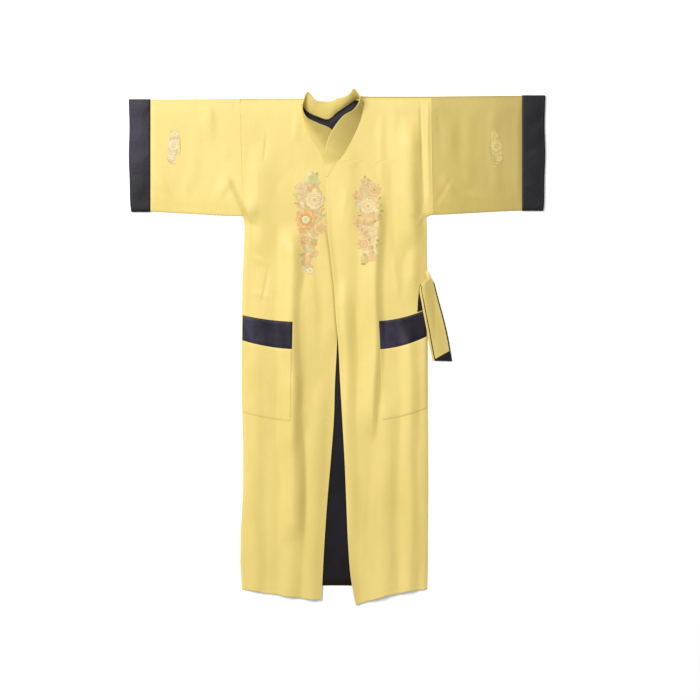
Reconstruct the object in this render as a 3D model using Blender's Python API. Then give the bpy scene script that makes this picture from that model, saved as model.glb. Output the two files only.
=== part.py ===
"""Kimono robe, laid flat, face up, with its sleeves straight out.

+X is the wearer's left, +Y runs from the hem to the shoulders, and +Z is up, away from the
surface that the robe lies on. The origin is the middle of the robe's box, on that surface.
The tables and sizes below are in millimetres; the objects are made in metres.

Every panel is a thin wall between two grids of points, one below the other. It is lofted through
rows of unlike width, sag and fold, which no primitive or modifier gives. A panel's rows run from
side to side and its columns from shoulder to hem. What lies on a panel is made from that panel's
own points, moved up, so that the layers never cross.
"""
import math
from collections import namedtuple

import bpy
import bmesh
from mathutils import Vector

MM = 0.001

# Cloth and seams
CLOTH = 1.2             # satin panel, with its seam allowances pressed flat
LINING = 1.1
GAP = 0.3               # between two layers, and at seams
BAND_THICK = 2.4        # neckband, a folded strip
CUFF_EXTRA = 0.5        # the turned cuff stands this much over the sleeve

# Heights of the undersides of the layers over the surface
BACK_Z = 0.0
BACK_LINING_Z = BACK_Z + CLOTH + GAP
FRONT_LINING_Z = BACK_LINING_Z + LINING + GAP
FRONT_Z = FRONT_LINING_Z + LINING + GAP
FRONT_TOP_Z = FRONT_Z + CLOTH
OVERLAP_LIFT = LINING + GAP + CLOTH + GAP   # the left front climbs over the right front

# Lengths down the robe
SHOULDER_Y = 673.0
ARMHOLE_END_Y = 353.0
SIDE_HEM_Y = -651.0
POCKET_HALF = 0.53      # a pocket's inner edge, as a share of the front's width
LONGEST_ROW = 62.0      # a front's table rows further apart than this get a row between them
LINING_INSET = 10.5     # the lining stops this far inside the side and shoulder seams
LINING_HEM_INSET = 8.0

# Half width of the robe from cuff to cuff
SPAN_HALF = 562.0
CUFF_SLANT = {"right": 9.0, "left": 2.2}    # a cuff's lower corner is this much further in

# Shares of a front's width at its columns, from the side seam (0) to the front edge (1)
COLUMNS = (0, .02, .04, .09, .15, .21, .27, .33, .40, .465, POCKET_HALF, .60, .67, .74, .80,
           .87, .935, 1.0)
LINING_COLUMNS = (.04, .27, POCKET_HALF, .67, .74, .80, .99)
OVERLAP_START = .67     # the overlap's lift starts at this column and is whole at the next
OVERLAP_WHOLE = .80
EDGE_DROP = (1.0, 0.4)  # share of the way down to the back at a seam's first two columns
POCKET_COLUMN = 2       # a pocket's outer edge is this column of its front
SHARP_ANGLE = 50        # degrees; a steeper edge is shaded sharp

# Side seams: y, and x of the wearer's right and left side
Side = namedtuple("Side", "y right_x left_x")
SIDES = (
    Side(SHOULDER_Y, -261.5, 255.0),
    Side(ARMHOLE_END_Y, -253.5, 246.5),
    Side(305.0, -252.5, 245.0),
    Side(210.0, -256.0, 243.8),
    Side(129.0, -260.3, 244.4),
    Side(21.0, -261.1, 244.4),
    Side(-141.0, -261.1, 244.6),
    Side(-262.0, -258.1, 245.7),
    Side(-384.0, -256.5, 245.7),
    Side(-492.0, -260.8, 244.6),
    Side(-578.0, -262.4, 244.6),
    Side(SIDE_HEM_Y, -252.5, 243.0),
)

# Rows of a front: y at the side seam, x of the front or neck edge, how far the row sags below y
# at half the width and at the front edge, and the share of OVERLAP_LIFT that the row has
FrontRow = namedtuple("FrontRow", "y edge_x sag_mid sag_edge lift")
RIGHT_SHOULDER_ROWS = (
    FrontRow(SHOULDER_Y, -99.5, 0, 0, 0),
    FrontRow(666.2, -99.5, 0, 0, 0),
    FrontRow(655.4, -99.0, 0, 0, 0),
)
RIGHT_FRONT_ROWS = (
    FrontRow(506.0, -34.0, 0, 0, 0),
    FrontRow(503.0, 2.7, 0, 0, 0),
    FrontRow(482.0, 13.5, 0, 0, 0),
    FrontRow(425.9, 17.6, 0, 0, 0),
    FrontRow(385.4, 18.1, 0, 0, 0),
    FrontRow(ARMHOLE_END_Y, 17.3, 0, 0, 0),
    FrontRow(304.4, 14.6, 0, 0, 0),
    FrontRow(228.8, 8.1, 5, 3, 0),
    FrontRow(155.9, 4.3, 12, 8, 0),
    FrontRow(88.4, 1.9, 18, 13, 0),
    FrontRow(20.9, 0.0, 24, 16, 0),
    FrontRow(-76.3, -5.4, 24, 19, 0),
    FrontRow(-173.5, -8.4, 24, 19, 0),
    FrontRow(-276.1, -16.2, 24, 21, 0),
    FrontRow(-384.1, -25.7, 26, 24, 0),
    FrontRow(-492.1, -33.5, 27, 27, 0),
    FrontRow(-578.5, -38.3, 27, 30, 0),
    FrontRow(SIDE_HEM_Y, -41.9, 28, 31, 0),
)
LEFT_SHOULDER_ROWS = (
    FrontRow(SHOULDER_Y, 72.0, 0, 0, 0),
    FrontRow(666.2, 72.2, 0, 0, 0),
    FrontRow(655.4, 72.3, 0, 0, 0),
)
LEFT_FRONT_ROWS = (
    FrontRow(504.7, 4.9, 0, 0, 1),
    FrontRow(504.2, -30.5, 0, 0, 1),
    FrontRow(452.9, -28.9, 0, 0, 1),
    FrontRow(385.4, -27.5, 0, 0, 1),
    FrontRow(ARMHOLE_END_Y, -26.7, 0, 0, 1),
    FrontRow(304.4, -24.8, 0, 0, 1),
    FrontRow(228.8, -14.9, 8, 5, 1),
    FrontRow(161.3, -7.3, 20, 12, 1),
    FrontRow(104.6, -3.2, 32, 18, 1),
    FrontRow(31.7, 3.5, 35, 22, 1),
    FrontRow(-65.5, 8.6, 34, 26, 0.4),
    FrontRow(-162.7, 14.3, 31, 29, 0),
    FrontRow(-276.1, 20.8, 27, 32, 0),
    FrontRow(-384.1, 25.4, 26, 35, 0),
    FrontRow(-492.1, 30.2, 24, 38, 0),
    FrontRow(-578.5, 37.8, 23, 43, 0),
    FrontRow(SIDE_HEM_Y, 55.4, 22, 47, 0),
)
RIGHT_POCKET_YS = (88.4, 20.9, -173.5)      # band top, band bottom, pocket bottom
LEFT_POCKET_YS = (104.6, 31.7, -162.7)

# Largest folds of the fronts, as ridges over a line in plan
Fold = namedtuple("Fold", "x_top y_top x_low y_low half_width height")
RIGHT_FOLDS = (
    Fold(-135, 340, -127, -900, 42, 12),
    Fold(-213, 560, -203, 290, 28, 6),
    Fold(-53, -60, -72, -900, 34, 7),
    Fold(-226, 20, -226, -900, 24, 5),
)
LEFT_FOLDS = (
    Fold(92, 430, 79, -260, 38, 13),
    Fold(16, 190, 37, -900, 28, 7),
    Fold(170, 600, 178, 190, 36, 8),
    Fold(196, 70, 200, -900, 26, 7),
    Fold(134, -110, 122, -900, 40, 10),
)
SLEEVE_FOLDS = (
    Fold(-285, 470, -330, 390, 26, 3),
    Fold(-330, 650, -334, 520, 30, 2.5),
    Fold(-455, 470, -480, 400, 26, 2.5),
    Fold(300, 640, 312, 480, 30, 2.5),
    Fold(276, 470, 330, 395, 26, 3),
)
FOLD_FADE = 90.0        # a fold rises over this length at its ends

# Top edge of the back: the shoulders and the hollow of the neck between them
BACK_TOP = (
    (-262.0, 673.0), (-215.0, 673.0), (-165.0, 673.0), (-125.0, 673.0), (-101.3, 673.0),
    (-92.0, 657.0), (-80.0, 640.0), (-54.5, 627.3), (-23.5, 619.5), (0.5, 638.0),
    (19.4, 650.0), (40.5, 664.5), (55.0, 672.0), (72.0, 673.0), (110.0, 673.0),
    (160.0, 673.0), (205.0, 673.0), (255.0, 673.0),
)
BACK_ROWS = (640.0, 570.0, 470.0, ARMHOLE_END_Y, 305.0, 210.0, 129.0, 21.0, -141.0, -262.0,
             -384.0, -492.0, -578.0)
BACK_LINING_ROWS = (570.0, ARMHOLE_END_Y, 210.0, 21.0, -262.0, -492.0)
BACK_HEM_RISE = 14.0    # the back's hem arches up this far at its middle
BACK_LINING_HEM_INSET = 1.0
NECK_CLEAR = 10.0       # the back's rows stay at least this far below its top edge
NECK_INSET = 1.5        # the lining's neck edge lies this far inside the back's
NECK_EASE = 1.6         # sideways room between a front's neck edge and the neckband

NECK_BASE_Z = 4.6       # underside of the neckband's seam edge beside a front

# Neckband stations from the right front's end, round the neck, to the left front's end: the
# seam edge in plan, the free edge in plan, height of the seam edge, rise of the free edge
Station = namedtuple("Station", "seam_x seam_y free_x free_y base lift")
NECKBAND = (
    Station(-35.0, 507.0, 5.0, 531.0, 4.6, 1),
    Station(-49.5, 535.5, 0.0, 561.0, 4.6, 3),
    Station(-67.5, 563.0, -16.5, 589.5, 4.6, 8),
    Station(-83.5, 592.0, -50.0, 604.0, 4.6, 15),
    Station(-90.5, 618.0, -78.5, 617.0, 4.6, 21),
    Station(-95.0, 636.5, -91.3, 635.5, 4.6, 25),
    Station(-96.5, 652.0, -91.5, 659.0, 4.4, 27),
    Station(-90.5, 655.0, -78.3, 688.4, 3.4, 24),
    Station(-77.5, 636.5, -58.0, 665.0, 3.2, 17),
    Station(-54.5, 624.6, -40.5, 663.0, 3.2, 13),
    Station(-23.5, 616.3, -16.7, 663.5, 3.2, 11),
    Station(0.5, 635.2, 1.4, 670.0, 3.2, 13),
    Station(19.4, 647.3, 18.9, 672.4, 3.2, 16),
    Station(39.2, 660.5, 34.6, 682.4, 3.2, 20),
    Station(56.0, 668.5, 45.4, 697.5, 3.3, 24),
    Station(66.0, 665.0, 56.5, 679.0, 4.0, 27),
    Station(70.0, 655.0, 59.5, 662.5, 4.6, 26),
    Station(69.5, 638.0, 45.9, 641.1, 4.6, 20),
    Station(62.5, 612.2, 18.5, 625.0, 4.6, 16),
    Station(47.5, 577.1, -4.0, 598.7, 4.9, 14),
    Station(30.0, 543.0, -22.7, 566.3, 5.9, 12),
    Station(13.0, 515.0, -31.6, 533.9, 7.1, 8),
    Station(3.5, 505.4, -35.6, 506.2, 7.5, 3),
)
RIGHT_END_STATIONS = 6      # this many from the right front's end lie along its neck edge
LEFT_END_STATIONS = 6
NECKBAND_STEPS = 2      # stretches between two stations
NECKBAND_ACROSS = 3     # strips from the seam edge to the free edge
NECKBAND_BOW = 2.5      # the band bows up this much between its edges

# Sleeve sections from the armhole to the cuff: x (0 means the side seam), lower and upper edge
Section = namedtuple("Section", "x low_y high_y")
RIGHT_SLEEVE = (
    Section(0, 358.5, 673.0), Section(-290, 359.5, 672.7), Section(-330, 362.5, 672.3),
    Section(-375, 365.0, 671.5), Section(-420, 367.5, 670.5), Section(-462, 370.0, 669.5),
    Section(-504, 372.0, 668.0),
)
LEFT_SLEEVE = (
    Section(0, 362.0, 673.0), Section(285, 363.5, 673.2), Section(325, 366.5, 673.6),
    Section(370, 369.0, 674.0), Section(415, 371.5, 674.5), Section(458, 373.5, 674.8),
    Section(500, 374.5, 675.0),
)
CUFF_STEPS = 2
SHEET_STEPS_LOW = 4     # strips across a sleeve's lower sheet
SHEET_STEPS_HIGH = 8    # and across its upper sheet
FOLD_STEPS = 3          # strips round the edge where the two sheets meet

# Sash: rows from its top to its end, with the two edges in plan
SashRow = namedtuple("SashRow", "left_x left_y right_x right_y")
SASH_UNDER_ROWS = (
    SashRow(238.1, 184.0, 254.6, 192.0),
    SashRow(223.0, 158.6, 263.0, 170.5),
    SashRow(228.4, 122.2, 272.7, 132.2),
    SashRow(235.2, 84.4, 283.2, 94.4),
    SashRow(242.7, 46.6, 294.8, 56.6),
    SashRow(249.5, 6.1, 304.6, 20.9),
    SashRow(257.9, -34.4, 310.0, -35.8),
)
SASH_UNDER_COLUMNS = (0, .12, .37, .63, .94, 1.0)
SASH_UPPER_COLUMNS = (.12, .37, .63, .94)
SASH_UNDER_THICK = 4.6
SASH_LAYER_GAP = 0.5    # between the hidden layers and the upper fold
SASH_REST_Z = 7.6       # underside of the folded sash where it lies on the front
SASH_SLOPE = (237.0, 264.0)     # it comes down to the surface between these x
SASH_UPPER_START = 0.35         # the upper fold starts this far along the first stretch
SASH_END_SHARE = (1.0, 0.5)     # its end runs slantwise: share of the last stretch per edge
TAIL_ROWS = (
    SashRow(226.5, 183.0, 231.5, 183.0), SashRow(221.5, 156.0, 233.5, 156.0),
    SashRow(218.9, 129.0, 233.5, 129.0), SashRow(217.0, 96.5, 233.5, 102.0),
)
TAIL_COLUMNS = (0, .5, 1)
TAIL_THICK = 1.1
# Middle of the loop's underside, from the side seam over the top of the folded sash
LOOP_PATH = ((240.5, 206.0, 5.0), (244.5, 199.5, 7.8), (246.8, 190.0, 10.8),
             (246.4, 182.5, 10.9))
LOOP_WIDTH = 7.0
LOOP_THICK = 1.4

Colour = namedtuple("Colour", "rgb roughness")
GOLD = Colour((0.80, 0.66, 0.22), 0.38)
GOLD_DULL = Colour((0.58, 0.46, 0.14), 0.42)
DARK = Colour((0.03, 0.026, 0.045), 0.35)
BLACK = Colour((0.012, 0.012, 0.016), 0.45)


def smooth(t):
    """Rise from 0 to 1 with level ends."""
    t = min(1.0, max(0.0, t))
    return t * t * (3 - 2 * t)


def between(low, high, share):
    return low + (high - low) * share


def along(table, x):
    """Read a table of (x, y) pairs, in rising x, at x."""
    for (x0, y0), (x1, y1) in zip(table, table[1:]):
        if x <= x1:
            return between(y0, y1, (x - x0) / (x1 - x0))
    return table[-1][1]


def side_x(wearer, y):
    """x of the wearer's right or left side seam at y."""
    rising = [(row.y, getattr(row, wearer + "_x")) for row in reversed(SIDES)]
    return along(rising, max(y, SIDE_HEM_Y))


def ridge(fold, x, y):
    """Height of one fold over the point x, y."""
    dx, dy = fold.x_low - fold.x_top, fold.y_low - fold.y_top
    length = math.hypot(dx, dy)
    run = ((x - fold.x_top) * dx + (y - fold.y_top) * dy) / length
    off = abs((x - fold.x_top) * dy - (y - fold.y_top) * dx) / length
    if off >= fold.half_width or run <= 0 or run >= length:
        return 0.0
    across = 0.5 + 0.5 * math.cos(math.pi * off / fold.half_width)
    fade = min(FOLD_FADE, length / 2)
    return fold.height * across * smooth(run / fade) * smooth((length - run) / fade)


def relief(folds, x, y):
    return max([ridge(fold, x, y) for fold in folds] + [0.0])


def make_material(name, colour):
    material = bpy.data.materials.new(name)
    material.use_nodes = True
    shader = material.node_tree.nodes["Principled BSDF"]
    shader.inputs["Base Color"].default_value = (*colour.rgb, 1.0)
    shader.inputs["Roughness"].default_value = colour.roughness
    shader.inputs["Metallic"].default_value = 0.0
    return material


def make_object(name, mesh, colour):
    mesh.shade_smooth()
    mesh.set_sharp_from_angle(angle=math.radians(SHARP_ANGLE))
    mesh.materials.append(make_material(name + "_cloth", colour))
    obj = bpy.data.objects.new(name, mesh)
    COLLECTION.objects.link(obj)
    return obj


def close_rows(bm, rows, wrap):
    """Join neighbouring rows of vertices with triangles. A wrapped row closes on itself."""
    for first, second in zip(rows, rows[1:]):
        count = len(first)
        for i in range(count if wrap else count - 1):
            j = (i + 1) % count
            bm.faces.new((first[i], second[i], second[j]))
            bm.faces.new((first[i], second[j], first[j]))


def wall(name, low, high, colour):
    """One closed wall between two grids of points, low and high, of the same size."""
    bm = bmesh.new()
    under = [[bm.verts.new(Vector(p) * MM) for p in row] for row in low]
    over = [[bm.verts.new(Vector(p) * MM) for p in row] for row in high]
    close_rows(bm, under, False)
    close_rows(bm, over, False)

    def rim(grid):
        return (grid[0] + [row[-1] for row in grid[1:]] + grid[-1][-2::-1]
                + [row[0] for row in grid[-2:0:-1]])

    close_rows(bm, [rim(under), rim(over)], True)
    bmesh.ops.recalc_face_normals(bm, faces=bm.faces)
    mesh = bpy.data.meshes.new(name)
    bm.to_mesh(mesh)
    bm.free()
    return make_object(name, mesh, colour)


def raise_grid(grid, amount):
    return [[(x, y, z + amount) for x, y, z in row] for row in grid]


def smooth_rows(rows, steps_of):
    """Put rows between table rows, on a smooth curve through them. steps_of gives how many
    stretches a pair of neighbouring rows is cut into."""
    count = len(rows)
    result = []
    for i in range(count - 1):
        p0, p1, p2, p3 = rows[max(i - 1, 0)], rows[i], rows[i + 1], rows[min(i + 2, count - 1)]
        steps = steps_of(p1, p2)
        for step in range(steps):
            t = step / steps
            result.append(type(p1)(*[
                b + 0.5 * t * (c - a + t * (2 * a - 5 * b + 4 * c - d + t * (3 * (b - c) + d - a)))
                for a, b, c, d in zip(p0, p1, p2, p3)]))
    result.append(rows[-1])
    return result


def front_rows(shoulder_rows, stations, ease, rows):
    """All rows of a front: the shoulder, the neck edge along the neckband, and the rest."""
    neck = [FrontRow(s.seam_y, s.seam_x + ease, 0, 0, (s.base - NECK_BASE_Z) / OVERLAP_LIFT)
            for s in smooth_rows(stations, lambda a, b: NECKBAND_STEPS)]
    neck.sort(key=lambda row: -row.y)
    rest = smooth_rows(rows, lambda a, b: 2 if a.y - b.y > LONGEST_ROW else 1)
    return list(shoulder_rows) + neck + rest


def sagged(row, share):
    """y of a front's row at a share of its width: a parabola through both sags."""
    bend = 4 * row.sag_mid - row.sag_edge
    return row.y - share * (bend + (row.sag_edge - bend) * share)


def overlap(share):
    """Share of the overlap's lift at a column."""
    return min(1.0, max(0.0, (share - OVERLAP_START) / (OVERLAP_WHOLE - OVERLAP_START)))


def front_grid(wearer, rows, folds):
    """Underside of a front: a row of points for each table row, a point for each column."""
    grid = []
    for index, row in enumerate(rows):
        seam_x = side_x(wearer, row.y)
        shoulder_drop = EDGE_DROP[index] if index < len(EDGE_DROP) else 0.0
        points = []
        for column, share in enumerate(COLUMNS):
            x = between(seam_x, row.edge_x, share)
            y = sagged(row, share)
            free_side = row.y <= ARMHOLE_END_Y and column < len(EDGE_DROP)
            drop = max(shoulder_drop, EDGE_DROP[column] if free_side else 0.0)
            lift = OVERLAP_LIFT * row.lift * overlap(share)
            rise = relief(folds, x, y) * (1 - drop)
            z = FRONT_Z + lift + rise - drop * (FRONT_Z - BACK_LINING_Z)
            points.append((x, y, z))
        grid.append(points)
    return grid


def front_lining_grid(wearer, rows):
    """Underside of a front's lining, level under the folds and inside the seams."""
    grid = []
    for row in rows[len(EDGE_DROP):]:
        seam_x = side_x(wearer, row.y)
        inset = LINING_HEM_INSET if row.y == SIDE_HEM_Y else 0.0
        points = []
        for share in LINING_COLUMNS:
            x = between(seam_x, row.edge_x, share)
            z = FRONT_LINING_Z + OVERLAP_LIFT * row.lift * overlap(share)
            points.append((x, sagged(row, share) + inset, z))
        grid.append(points)
    return grid


def rows_between(grid, rows, y_high, y_low, first_column, last_column):
    """The part of a front's grid between two of its rows and two of its columns."""
    picked = []
    for row, points in zip(rows, grid):
        if y_low <= row.y <= y_high:
            picked.append(points[first_column:last_column + 1])
    return picked


def part_rows(grid, distance):
    """Move a grid's first row down the robe, to leave a seam's gap."""
    first = [(x, y - distance, z) for x, y, z in grid[0]]
    return [first] + grid[1:]


def make_front(wearer, rows, folds, pocket_ys):
    under = front_grid(wearer, rows, folds)
    over = raise_grid(under, CLOTH)
    wall(wearer + "_front", under, over, GOLD)
    lining = front_lining_grid(wearer, rows)
    wall(wearer + "_front_lining", lining, raise_grid(lining, LINING), BLACK)

    band_top, band_bottom, pocket_bottom = pocket_ys
    last = COLUMNS.index(POCKET_HALF)
    band = rows_between(over, rows, band_top, band_bottom, POCKET_COLUMN, last)
    pocket = rows_between(over, rows, band_bottom, pocket_bottom, POCKET_COLUMN, last)
    band = raise_grid(band, GAP)
    pocket = part_rows(raise_grid(pocket, GAP), GAP)
    wall(wearer + "_pocket_band", band, raise_grid(band, CLOTH), DARK)
    wall(wearer + "_pocket", pocket, raise_grid(pocket, CLOTH), GOLD)


def back_grid(ys, z, inset, hem_inset, neck_inset):
    """A flat panel under the fronts, with the shoulders and the neck as its top edge."""
    first_x, last_x = BACK_TOP[0][0], BACK_TOP[-1][0]
    shares = [(x - first_x) / (last_x - first_x) for x, _ in BACK_TOP]
    grid = []
    top = []
    for share, (_, top_y) in zip(shares, BACK_TOP):
        x = between(side_x("right", top_y) + inset, side_x("left", top_y) - inset, share)
        y = min(top_y - neck_inset, SHOULDER_Y - inset)
        top.append((x, y, z))
    grid.append(top)
    for y in ys:
        low_x, high_x = side_x("right", y) + inset, side_x("left", y) - inset
        grid.append([(between(low_x, high_x, s), min(y, t[1] - NECK_CLEAR), z)
                     for s, t in zip(shares, top)])
    low_x = side_x("right", SIDE_HEM_Y) + inset
    high_x = side_x("left", SIDE_HEM_Y) - inset
    grid.append([(between(low_x, high_x, s),
                  SIDE_HEM_Y + hem_inset + BACK_HEM_RISE * math.sin(math.pi * s), z)
                 for s in shares])
    return grid


def make_back():
    panel = back_grid(BACK_ROWS, BACK_Z, 0.0, 0.0, 0.0)
    wall("back_panel", panel, raise_grid(panel, CLOTH), GOLD)
    lining = back_grid(BACK_LINING_ROWS, BACK_LINING_Z, LINING_INSET, BACK_LINING_HEM_INSET,
                       NECK_INSET)
    wall("back_lining", lining, raise_grid(lining, LINING), BLACK)


def make_neckband():
    middle = []
    for station in smooth_rows(NECKBAND, lambda a, b: NECKBAND_STEPS):
        seam = Vector((station.seam_x, station.seam_y, station.base + BAND_THICK / 2))
        free = Vector((station.free_x, station.free_y, seam.z + station.lift))
        row = []
        for step in range(NECKBAND_ACROSS + 1):
            share = step / NECKBAND_ACROSS
            bow = Vector((0, 0, NECKBAND_BOW * math.sin(math.pi * share)))
            row.append(seam.lerp(free, share) + bow)
        middle.append(row)
    low, high = [], []
    for i, row in enumerate(middle):
        before, after = middle[max(i - 1, 0)], middle[min(i + 1, len(middle) - 1)]
        low_row, high_row = [], []
        for j, point in enumerate(row):
            run = after[j] - before[j]
            rise = row[min(j + 1, len(row) - 1)] - row[max(j - 1, 0)]
            normal = rise.cross(run).normalized() * (BAND_THICK / 2)
            low_row.append(point - normal)
            high_row.append(point + normal)
        low.append(low_row)
        high.append(high_row)
    wall("neckband", low, high, GOLD)


def ring(x_of, low_y, high_y, height, thick, folds):
    """Outer and inner points of a flattened tube's section, all the way round."""
    half = height / 2
    outer, inner = [], []

    def add(y, z, dy, dz, rise):
        outer.append((x_of(y), y, z + rise))
        inner.append((x_of(y), y + dy * thick, z + dz * thick + rise))

    for i in range(SHEET_STEPS_LOW):
        add(between(low_y + half, high_y - half, i / SHEET_STEPS_LOW), 0.0, 0, 1, 0.0)
    for i in range(FOLD_STEPS):
        turn = math.pi * i / FOLD_STEPS - math.pi / 2
        add(high_y - half + half * math.cos(turn), half + half * math.sin(turn),
            -math.cos(turn), -math.sin(turn), 0.0)
    for i in range(SHEET_STEPS_HIGH):
        y = between(high_y - half, low_y + half, i / SHEET_STEPS_HIGH)
        add(y, height, 0, -1, relief(folds, x_of(y), y))
    for i in range(FOLD_STEPS):
        turn = math.pi * i / FOLD_STEPS + math.pi / 2
        add(low_y + half + half * math.cos(turn), half + half * math.sin(turn),
            -math.cos(turn), -math.sin(turn), 0.0)
    return outer, inner


def tube(name, sections, colour):
    """A flattened open tube from a list of (outer, inner) rings."""
    bm = bmesh.new()
    outer = [[bm.verts.new(Vector(p) * MM) for p in ring_out] for ring_out, _ in sections]
    inner = [[bm.verts.new(Vector(p) * MM) for p in ring_in] for _, ring_in in sections]
    close_rows(bm, outer, True)
    close_rows(bm, inner, True)
    close_rows(bm, [outer[0], inner[0]], True)
    close_rows(bm, [outer[-1], inner[-1]], True)
    bmesh.ops.recalc_face_normals(bm, faces=bm.faces)
    mesh = bpy.data.meshes.new(name)
    bm.to_mesh(mesh)
    bm.free()
    return make_object(name, mesh, colour)


def make_sleeve(wearer, sections, colour):
    sign = -1 if wearer == "right" else 1
    rings = []
    for section in sections:
        if section.x == 0:
            def x_of(y):
                return side_x(wearer, max(y, ARMHOLE_END_Y)) + sign * GAP
        else:
            def x_of(y, x=section.x):
                return x
        rings.append(ring(x_of, section.low_y, section.high_y, FRONT_TOP_Z, CLOTH,
                          SLEEVE_FOLDS))
    tube(wearer + "_sleeve", rings, colour)

    cuff_height = FRONT_TOP_Z + CUFF_EXTRA
    end = sections[-1]
    slant = CUFF_SLANT[wearer]
    rings = []
    for step in range(CUFF_STEPS + 1):
        share = step / CUFF_STEPS

        def x_of(y, share=share):
            down = (end.high_y - y) / (end.high_y - end.low_y)
            outer_x = sign * (SPAN_HALF - slant * down)
            return between(end.x + sign * GAP, outer_x, share)
        rings.append(ring(x_of, end.low_y - CUFF_EXTRA, end.high_y + CUFF_EXTRA, cuff_height,
                          CLOTH, ()))
    tube(wearer + "_cuff", rings, DARK)


def sash_rest(x):
    """Height of the folded sash's underside: on the front, then down on to the surface."""
    first, last = SASH_SLOPE
    return SASH_REST_Z * min(1.0, max(0.0, (last - x) / (last - first)))


def sash_row(row, columns):
    return [(between(row.left_x, row.right_x, s), between(row.left_y, row.right_y, s))
            for s in columns]


def make_sash():
    under = [[(x, y, sash_rest(x)) for x, y in sash_row(row, SASH_UNDER_COLUMNS)]
             for row in SASH_UNDER_ROWS]
    wall("sash_under_folds", under, raise_grid(under, SASH_UNDER_THICK), BLACK)

    columns = [SASH_UNDER_COLUMNS.index(s) for s in SASH_UPPER_COLUMNS]
    raised = raise_grid(under, SASH_UNDER_THICK + SASH_LAYER_GAP)
    upper = [[row[i] for i in columns] for row in raised]
    start = [Vector(a).lerp(Vector(b), SASH_UPPER_START) for a, b in zip(upper[0], upper[1])]
    left_share, right_share = SASH_END_SHARE
    end = []
    for i, (a, b) in enumerate(zip(upper[-2], upper[-1])):
        share = between(left_share, right_share, i / (len(columns) - 1))
        end.append(tuple(Vector(a).lerp(Vector(b), share)))
    upper = [[tuple(p) for p in start]] + upper[1:-1] + [end]
    wall("sash_upper_fold", upper, raise_grid(upper, CLOTH), GOLD)

    tail_z = FRONT_TOP_Z + GAP
    tail = [[(x, y, tail_z) for x, y in sash_row(row, TAIL_COLUMNS)] for row in TAIL_ROWS]
    wall("sash_tail", tail, raise_grid(tail, TAIL_THICK), BLACK)


def make_loop():
    """A narrow strap from the side seam over the top of the folded sash."""
    low = []
    for i, point in enumerate(LOOP_PATH):
        before, after = LOOP_PATH[max(i - 1, 0)], LOOP_PATH[min(i + 1, len(LOOP_PATH) - 1)]
        run = (Vector(after) - Vector(before)).xy.normalized()
        across = Vector((-run.y, run.x, 0)) * (LOOP_WIDTH / 2)
        low.append([tuple(Vector(point) - across), tuple(Vector(point) + across)])
    wall("sash_loop", low, raise_grid(low, LOOP_THICK), GOLD)


for old in list(bpy.data.objects):
    bpy.data.objects.remove(old, do_unlink=True)
COLLECTION = bpy.data.collections.new("kimono_robe")
bpy.context.scene.collection.children.link(COLLECTION)

make_back()
right_rows = front_rows(RIGHT_SHOULDER_ROWS, NECKBAND[:RIGHT_END_STATIONS], -NECK_EASE,
                        RIGHT_FRONT_ROWS)
left_rows = front_rows(LEFT_SHOULDER_ROWS, NECKBAND[-LEFT_END_STATIONS:], NECK_EASE,
                       LEFT_FRONT_ROWS)
make_front("right", right_rows, RIGHT_FOLDS, RIGHT_POCKET_YS)
make_front("left", left_rows, LEFT_FOLDS, LEFT_POCKET_YS)
make_sleeve("right", RIGHT_SLEEVE, GOLD)
make_sleeve("left", LEFT_SLEEVE, GOLD_DULL)
make_neckband()
make_sash()
make_loop()
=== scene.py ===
# %% [markdown]
# # A kimono robe, laid flat
# The robe is golden satin over a black lining, with dark cuffs and pocket bands. It lies face up
# with its sleeves out. Each piece that a maker cuts is a piece here too. The solids are plain, so
# each visible piece is a thin fine shell that stands in for its solid, in the same place.

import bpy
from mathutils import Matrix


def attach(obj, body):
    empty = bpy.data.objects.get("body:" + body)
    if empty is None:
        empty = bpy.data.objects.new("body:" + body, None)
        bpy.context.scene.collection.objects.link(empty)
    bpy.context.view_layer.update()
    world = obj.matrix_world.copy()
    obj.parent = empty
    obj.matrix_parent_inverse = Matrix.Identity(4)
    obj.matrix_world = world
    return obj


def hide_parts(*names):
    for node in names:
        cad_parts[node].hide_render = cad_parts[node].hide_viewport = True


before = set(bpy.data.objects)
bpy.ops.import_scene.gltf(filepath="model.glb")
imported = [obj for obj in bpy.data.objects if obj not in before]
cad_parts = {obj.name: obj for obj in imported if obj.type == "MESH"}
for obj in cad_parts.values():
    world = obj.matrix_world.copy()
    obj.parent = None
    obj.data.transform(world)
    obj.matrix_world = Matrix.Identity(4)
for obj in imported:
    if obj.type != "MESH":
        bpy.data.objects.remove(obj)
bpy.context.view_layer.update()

# %% [markdown]
# ## Sizes of the cut
# The solids were lofted from short tables. The shells use the same tables, in millimetres, so they
# lie where the solids lie. Reading the solids' own points would also work, but they are too coarse
# for soft folds, and a table says what each number is for.

# %% Sizes
import math

import bmesh
import bpy
import numpy as np
from mathutils import Vector
from mathutils.bvhtree import BVHTree

MM = 0.001
CLOTH = 1.2
LINING = 1.1
GAP = 0.3
BACK_LINING_Z = CLOTH + GAP
FRONT_LINING_Z = BACK_LINING_Z + LINING + GAP
FRONT_Z = FRONT_LINING_Z + LINING + GAP
FRONT_TOP_Z = FRONT_Z + CLOTH
OVERLAP_LIFT = LINING + GAP + CLOTH + GAP
SHOULDER_Y = 673.0
ARMHOLE_END_Y = 353.0
SIDE_HEM_Y = -651.0
print("top face of a front at", FRONT_TOP_Z, "mm, and", OVERLAP_LIFT, "mm higher on the overlap")

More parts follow.
